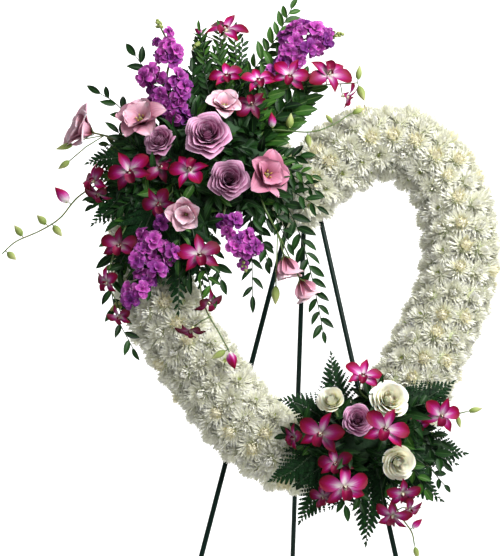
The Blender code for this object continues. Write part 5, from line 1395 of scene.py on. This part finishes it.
def frond(pile, points, width, pairs, bare):
    """A frond with lobed leaflets; bare is the share of its stalk without them.

    At the share t of its blade a leaflet is 0.62 * width * (0.74 + 1.3 t) long up to a fifth, and then
    0.62 * width * (1.22 * (1 - t) + 0.05).
    """
    path = smooth_path(points)
    pile.tube(path, np.linspace(0.0016, 0.0007, len(path)), 8, 2)
    whole = np.linalg.norm(np.diff(path, axis=0), axis=1).sum()
    first = bare * 0.70
    rows = pairs + 3
    share = first + (0.985 - first) * (np.arange(rows) + 0.5) / rows
    gap = whole * (0.985 - first) / rows
    t = (share - first) / (1 - first)
    reach = width * 0.62 * np.where(t < 0.20, 0.74 + 1.3 * t, 1.22 * (1 - t) + 0.05)
    for turn in (1.0, -1.0):
        places, ways = along_path(path, np.minimum(share + turn * 0.18 / rows, 0.99))
        side = unit(np.cross(ways, UP)) * turn
        droop = dice.uniform(-0.30, 0.10, rows)[:, None]
        way = unit(side + ways * (0.70 + 0.6 * t[:, None]) + UP * droop)
        blades(pile, places, way, UP + 0 * way, reach, 0.0016, "leaf", rows=5, columns=3, curl=-0.25, slot=1,
               shade=0.3)
        for k in range(FERN_LOBES):
            along = (k + 0.5) / (FERN_LOBES + 0.5)
            base = places + way * (reach * along)[:, None] - UP * (reach * 0.10 * along ** 2)[:, None]
            for other in (1.0, -1.0):
                across = unit(np.cross(way, UP)) * other
                lobe = np.minimum(gap * 0.78, reach * 0.40) * (1.0 - 0.72 * along)
                tooth = np.minimum(reach / FERN_LOBES * 1.30, lobe * 0.9 + 0.0012)
                blades(pile, base, across * 0.9 + way * 0.9 - UP * 0.1,
                       UP + dice.uniform(-0.2, 0.2, (rows, 3)), lobe * 1.1, tooth, "pinnule", rows=3,
                       columns=3, curl=-0.3, fold=0.25, slot=1, shade=dice.uniform(0.0, 0.9, rows))
        tip = places + way * (reach * 0.90)[:, None] - UP * (reach * 0.09)[:, None]
        blades(pile, tip, way, UP + 0 * way, reach * 0.16, reach * 0.06, "leaf", rows=3, columns=3, slot=1,
               shade=0.5)
    end, way = along_path(path, [0.96])
    blades(pile, end, way, UP, width * 0.16, width * 0.05, "leaf", rows=5, columns=3, slot=1, shade=0.6)


def fern_ring(pile, root, targets, share, rise, width, pairs, bare):
    """A frond from the root to each target, lifted by a rise at a share of its way."""
    for target in targets:
        head = spot(*target)
        frond(pile, (root, root.lerp(head, share) + spot(0, 0, rise), head), width, pairs, bare)


print("a leaflet has", FERN_LOBES * 2, "lobes")

# %% [markdown]
# ## Bunches
#
# The frame has the foliage in six bunches. A bunch starts from one place of the spine, as if it were tied
# there, and its stems part from that place. The smaller leaves go to places that are spread like a fan,
# with a little chance, since even steps would show.

# %% Bunches
def bunch(spray, middle, stems):
    """A pile of leafy stems and fronds that meet at one place of the spine.

    A stem is its kind, its places, and the numbers that its kind asks for.
    """
    root = spray.spine[middle].copy()
    root.y = -LEAF_OUT
    pile = Pile()
    for kind, places, *numbers in stems:
        line = [root, *(spot(*p) for p in places)]
        line.insert(1, root + (line[1] - root).normalized() * LEAF_FOOT)
        kind(pile, line, *numbers)
    return pile


def fan(middle, first, last, count, near, far, out):
    """Places (x + r * cos(a), z + r * sin(a), out) round a middle, between two headings and distances."""
    angles = np.radians(np.linspace(first, last, count) + dice.uniform(-6, 6, count))
    reach = dice.uniform(near, far, count)
    outs = dice.uniform(out[0], out[1], count)
    x, z = middle
    return [(x + r * math.cos(a), z + r * math.sin(a), o) for a, r, o in zip(angles, reach, outs)]


print("the stems of a bunch part", round(LEAF_FOOT * 1000), "mm from its root")

# %% [markdown]
# ## Foliage of the upper spray
#
# Each bunch has the stems and fronds of its node in the frame, and round them the smaller leaves that fill
# the gaps between the flowers.

# %% Foliage of the upper spray
upper = bunch(top, 5, (
    (leafy_stem, ((-0.138, 0.262, 0.074), (-0.104, 0.330, 0.066), (-0.062, 0.400, 0.060),
                  (-0.033, 0.462, 0.060)), 12, 0.038, 0.015, 0.38, 3),
    (leafy_stem, ((-0.176, 0.262, 0.072), (-0.206, 0.320, 0.064), (-0.196, 0.388, 0.060)),
     13, 0.030, 0.010, 0.38, 0),
    (leafy_stem, ((-0.222, 0.262, 0.070), (-0.290, 0.322, 0.062), (-0.322, 0.362, 0.060)),
     5, 0.040, 0.016, 0.5, 0),
))
thicket(upper, top, fan((-0.150, 0.160), 35, 150, 17, 0.110, 0.190, (0.055, 0.105)), 7, 0.034, 0.013)
thicket(upper, top, fan((-0.180, 0.260), 62, 104, 10, 0.080, 0.165, (0.060, 0.095)), 14, 0.027, 0.008,
        (0, 3, 0))
thicket(upper, top, fan((-0.090, 0.250), 12, 74, 7, 0.070, 0.140, (0.065, 0.100)), 6, 0.040, 0.017,
        (0, 3, 3))
cover(upper, TOP_SPAN, 110)
rosettes(upper, fan((-0.185, 0.115), 0, 360, 34, 0.020, 0.120, (0.096, 0.128)), 9, 0.038, 0.012)
upper.build("foliage_upper", ["leaves_upper"], FOLIAGE, "green_leaf")

left = bunch(top, 0, (
    (leafy_stem, ((-0.300, 0.205, 0.076), (-0.350, 0.262, 0.070), (-0.383, 0.283, 0.070)),
     4, 0.036, 0.013, 0.5, 0),
    (frond, ((-0.310, 0.162, 0.082), (-0.360, 0.158, 0.076), (-0.400, 0.148, 0.072)), 0.080, 9, 0.45),
    (frond, ((-0.318, 0.100, 0.106), (-0.352, 0.060, 0.098), (-0.384, 0.030, 0.086)), 0.080, 9, 0.45),
    (leafy_stem, ((-0.318, 0.060, 0.102), (-0.343, -0.030, 0.090), (-0.338, -0.120, 0.086),
                  (-0.300, -0.196, 0.088)), 9, 0.038, 0.014, 0.36, 0),
))
thicket(left, top, fan((-0.210, 0.120), 140, 262, 20, 0.100, 0.190, (0.060, 0.110)), 7, 0.034, 0.013)
fern_ring(left, top.spine[1], fan((-0.230, 0.120), 150, 250, 7, 0.120, 0.165, (0.075, 0.105)), 0.55, 0.01,
          0.075, 9, 0.35)
left.build("foliage_left", ["leaves_left"], FOLIAGE, "green_leaf")

lower = bunch(top, 1, (
    (frond, ((-0.2235, 0.036, 0.106), (-0.2240, -0.050, 0.108), (-0.2235, -0.136, 0.106)), 0.085, 10, 0.5),
))
thicket(lower, top, fan((-0.220, 0.080), 225, 300, 16, 0.110, 0.230, (0.085, 0.125)), 7, 0.034, 0.013)
fern_ring(lower, top.spine[1], fan((-0.230, 0.060), 225, 285, 6, 0.130, 0.200, (0.095, 0.115)), 0.5, 0.02,
          0.080, 9, 0.4)
lower.build("foliage_lower", ["leaves_lower"], FOLIAGE, "green_leaf")

right = bunch(top, 8, (
    (leafy_stem, ((-0.070, 0.110, 0.100), (-0.030, 0.060, 0.094), (-0.004, 0.000, 0.084),
                  (0.018, -0.080, 0.074), (0.034, -0.155, 0.070)), 11, 0.036, 0.013, 0.40, 0),
))
thicket(right, top, fan((-0.130, 0.110), -75, 20, 13, 0.080, 0.155, (0.080, 0.115)), 6, 0.034, 0.013)
right.build("foliage_right", ["leaves_right"], FOLIAGE, "green_leaf")

# %% [markdown]
# ## Foliage of the lower spray
#
# Here fronds stand out to both sides, into the opening, and down past the tip of the heart.

# %% Foliage of the lower spray
near_left = bunch(bottom, 7, (
    (frond, ((0.030, -0.306, 0.100), (-0.010, -0.286, 0.110), (-0.042, -0.280, 0.110)), 0.072, 9, 0.4),
    (frond, ((0.060, -0.270, 0.098), (0.050, -0.230, 0.100), (0.046, -0.192, 0.096)), 0.072, 9, 0.4),
    (frond, ((0.016, -0.374, 0.110), (-0.020, -0.404, 0.110), (-0.056, -0.420, 0.104)), 0.080, 9, 0.45),
    (frond, ((0.040, -0.425, 0.100), (0.014, -0.460, 0.094), (-0.004, -0.490, 0.088)), 0.080, 9, 0.4),
))
fern_ring(near_left, bottom.spine[5], fan((0.090, -0.360), 120, 275, 9, 0.085, 0.130, (0.085, 0.115)), 0.5,
          0.01, 0.070, 8, 0.35)
thicket(near_left, bottom, fan((0.090, -0.350), 110, 280, 12, 0.060, 0.120, (0.090, 0.120)), 5, 0.032, 0.014)
cover(near_left, BOTTOM_SPAN, 80)
rosettes(near_left, fan((0.112, -0.345), 0, 360, 18, 0.015, 0.075, (0.096, 0.124)), 8, 0.036, 0.012)
near_left.build("ferns_of_the_left", ["ferns_left"], FOLIAGE, "green_leaf")

near_right = bunch(bottom, 2, (
    (frond, ((0.184, -0.290, 0.104), (0.226, -0.262, 0.108), (0.260, -0.240, 0.104)), 0.080, 9, 0.4),
    (frond, ((0.195, -0.345, 0.092), (0.240, -0.356, 0.086), (0.284, -0.362, 0.082)), 0.090, 9, 0.4),
    (frond, ((0.180, -0.390, 0.090), (0.216, -0.425, 0.084), (0.244, -0.445, 0.080)), 0.080, 9, 0.4),
    (frond, ((0.120, -0.400, 0.090), (0.116, -0.470, 0.082), (0.112, -0.524, 0.076)), 0.085, 10, 0.4),
))
fern_ring(near_right, bottom.spine[3], fan((0.150, -0.350), -95, 60, 10, 0.080, 0.125, (0.080, 0.110)), 0.5,
          0.01, 0.070, 8, 0.35)
thicket(near_right, bottom, fan((0.150, -0.350), -100, 70, 12, 0.060, 0.120, (0.085, 0.115)), 5, 0.032,
        0.014)
near_right.build("ferns_of_the_right", ["ferns_right"], FOLIAGE, "green_leaf")

# %% [markdown]
# ## Backdrop
#
# A pale floor runs up into a white backdrop through a curve, because a corner would show as a line. The
# curve is a quarter of a circle: back by COVE * sin(a) and up by COVE - COVE * cos(a).

# %% Backdrop
PAPER = (0.80, 0.80, 0.80)
FLOOR_FRONT, FLOOR_BACK, HALF_WIDTH, COVE, WALL_TOP = -6.0, 2.6, 6.0, 1.4, 5.0


def studio_finish(name, colour):
    """Matt paper, a little uneven."""
    n = Nodes(name)
    place = n.new("ShaderNodeTexCoord").outputs["Object"]
    tone = n.mix(n.noise(place, 3.0), colour, tuple(c * 0.985 for c in colour))
    return n.finish(tone, 0.9)


turns = np.linspace(0, math.pi / 2, 16)
profile = [(FLOOR_FRONT, 0.0), (FLOOR_BACK, 0.0)]
profile += [(FLOOR_BACK + COVE * math.sin(a), COVE - COVE * math.cos(a)) for a in turns[1:]]
profile.append((FLOOR_BACK + COVE, WALL_TOP))
points = [(x, y, z) for y, z in profile for x in (-HALF_WIDTH, HALF_WIDTH)]
faces = [(2 * n, 2 * n + 1, 2 * n + 3, 2 * n + 2) for n in range(len(profile) - 1)]
mesh = bpy.data.meshes.new("studio")
mesh.from_pydata(points, [], faces)
mesh.polygons.foreach_set("use_smooth", np.ones(len(faces), bool))
mesh.materials.append(studio_finish("white_paper", PAPER))
studio = bpy.data.objects.new("studio", mesh)
bpy.context.scene.collection.objects.link(studio)
print("the paper is", HALF_WIDTH * 2, "m wide")

# %% [markdown]
# ## Lights
#
# A large soft light stands high at the right, a weak one at the left, and a third lights the backdrop. One
# sun lamp would be simpler, but its hard shadows would cut the petals up.

# %% Lights
MIDDLE = (0.0, -0.1, 1.2)


def soft_light(name, place, target, size, power):
    """A square area light that looks at a place."""
    light = bpy.data.lights.new(name, "AREA")
    light.size = size
    light.energy = power
    thing = bpy.data.objects.new(name, light)
    thing.location = place
    thing.rotation_euler = (Vector(target) - Vector(place)).to_track_quat("-Z", "Y").to_euler()
    bpy.context.scene.collection.objects.link(thing)


soft_light("key_light", (1.35, -1.55, 2.75), MIDDLE, 1.5, 118)
soft_light("fill_light", (-1.8, -3.2, 1.5), MIDDLE, 2.2, 8)
soft_light("backdrop_light", (0.0, 1.2, 3.4), (0.0, 4.0, 1.2), 3.0, 230)
world = bpy.data.worlds.new("studio_air")
world.use_nodes = True
world.node_tree.nodes["Background"].inputs["Color"].default_value = (1.0, 1.0, 1.0, 1.0)
world.node_tree.nodes["Background"].inputs["Strength"].default_value = 0.26
bpy.context.scene.world = world
print("the lights are", ", ".join(light.name for light in bpy.data.lights))

# %% [markdown]
# ## Camera
#
# The camera stands level with the middle of the wreath, three metres off. It is rolled by a little over a
# degree, as the photo is, and its long lens keeps the heart's shape.

# %% Camera
CAMERA_AT, CAMERA_ROLL, CAMERA_LENS = (-0.004, -3.171, 1.178), 0.024, 71.9
camera = bpy.data.cameras.new("camera")
camera.sensor_fit = "VERTICAL"
camera.sensor_height = 24.0
camera.lens = CAMERA_LENS
eye = bpy.data.objects.new("camera", camera)
eye.matrix_world = (Matrix.Translation(CAMERA_AT) @ Matrix.Rotation(math.pi / 2, 4, "X")
                    @ Matrix.Rotation(CAMERA_ROLL, 4, "Z"))
bpy.context.scene.collection.objects.link(eye)
bpy.context.scene.camera = eye
bpy.context.scene.view_settings.view_transform = "Standard"
print("the camera looks from", tuple(round(v, 3) for v in eye.location))

# %% [markdown]
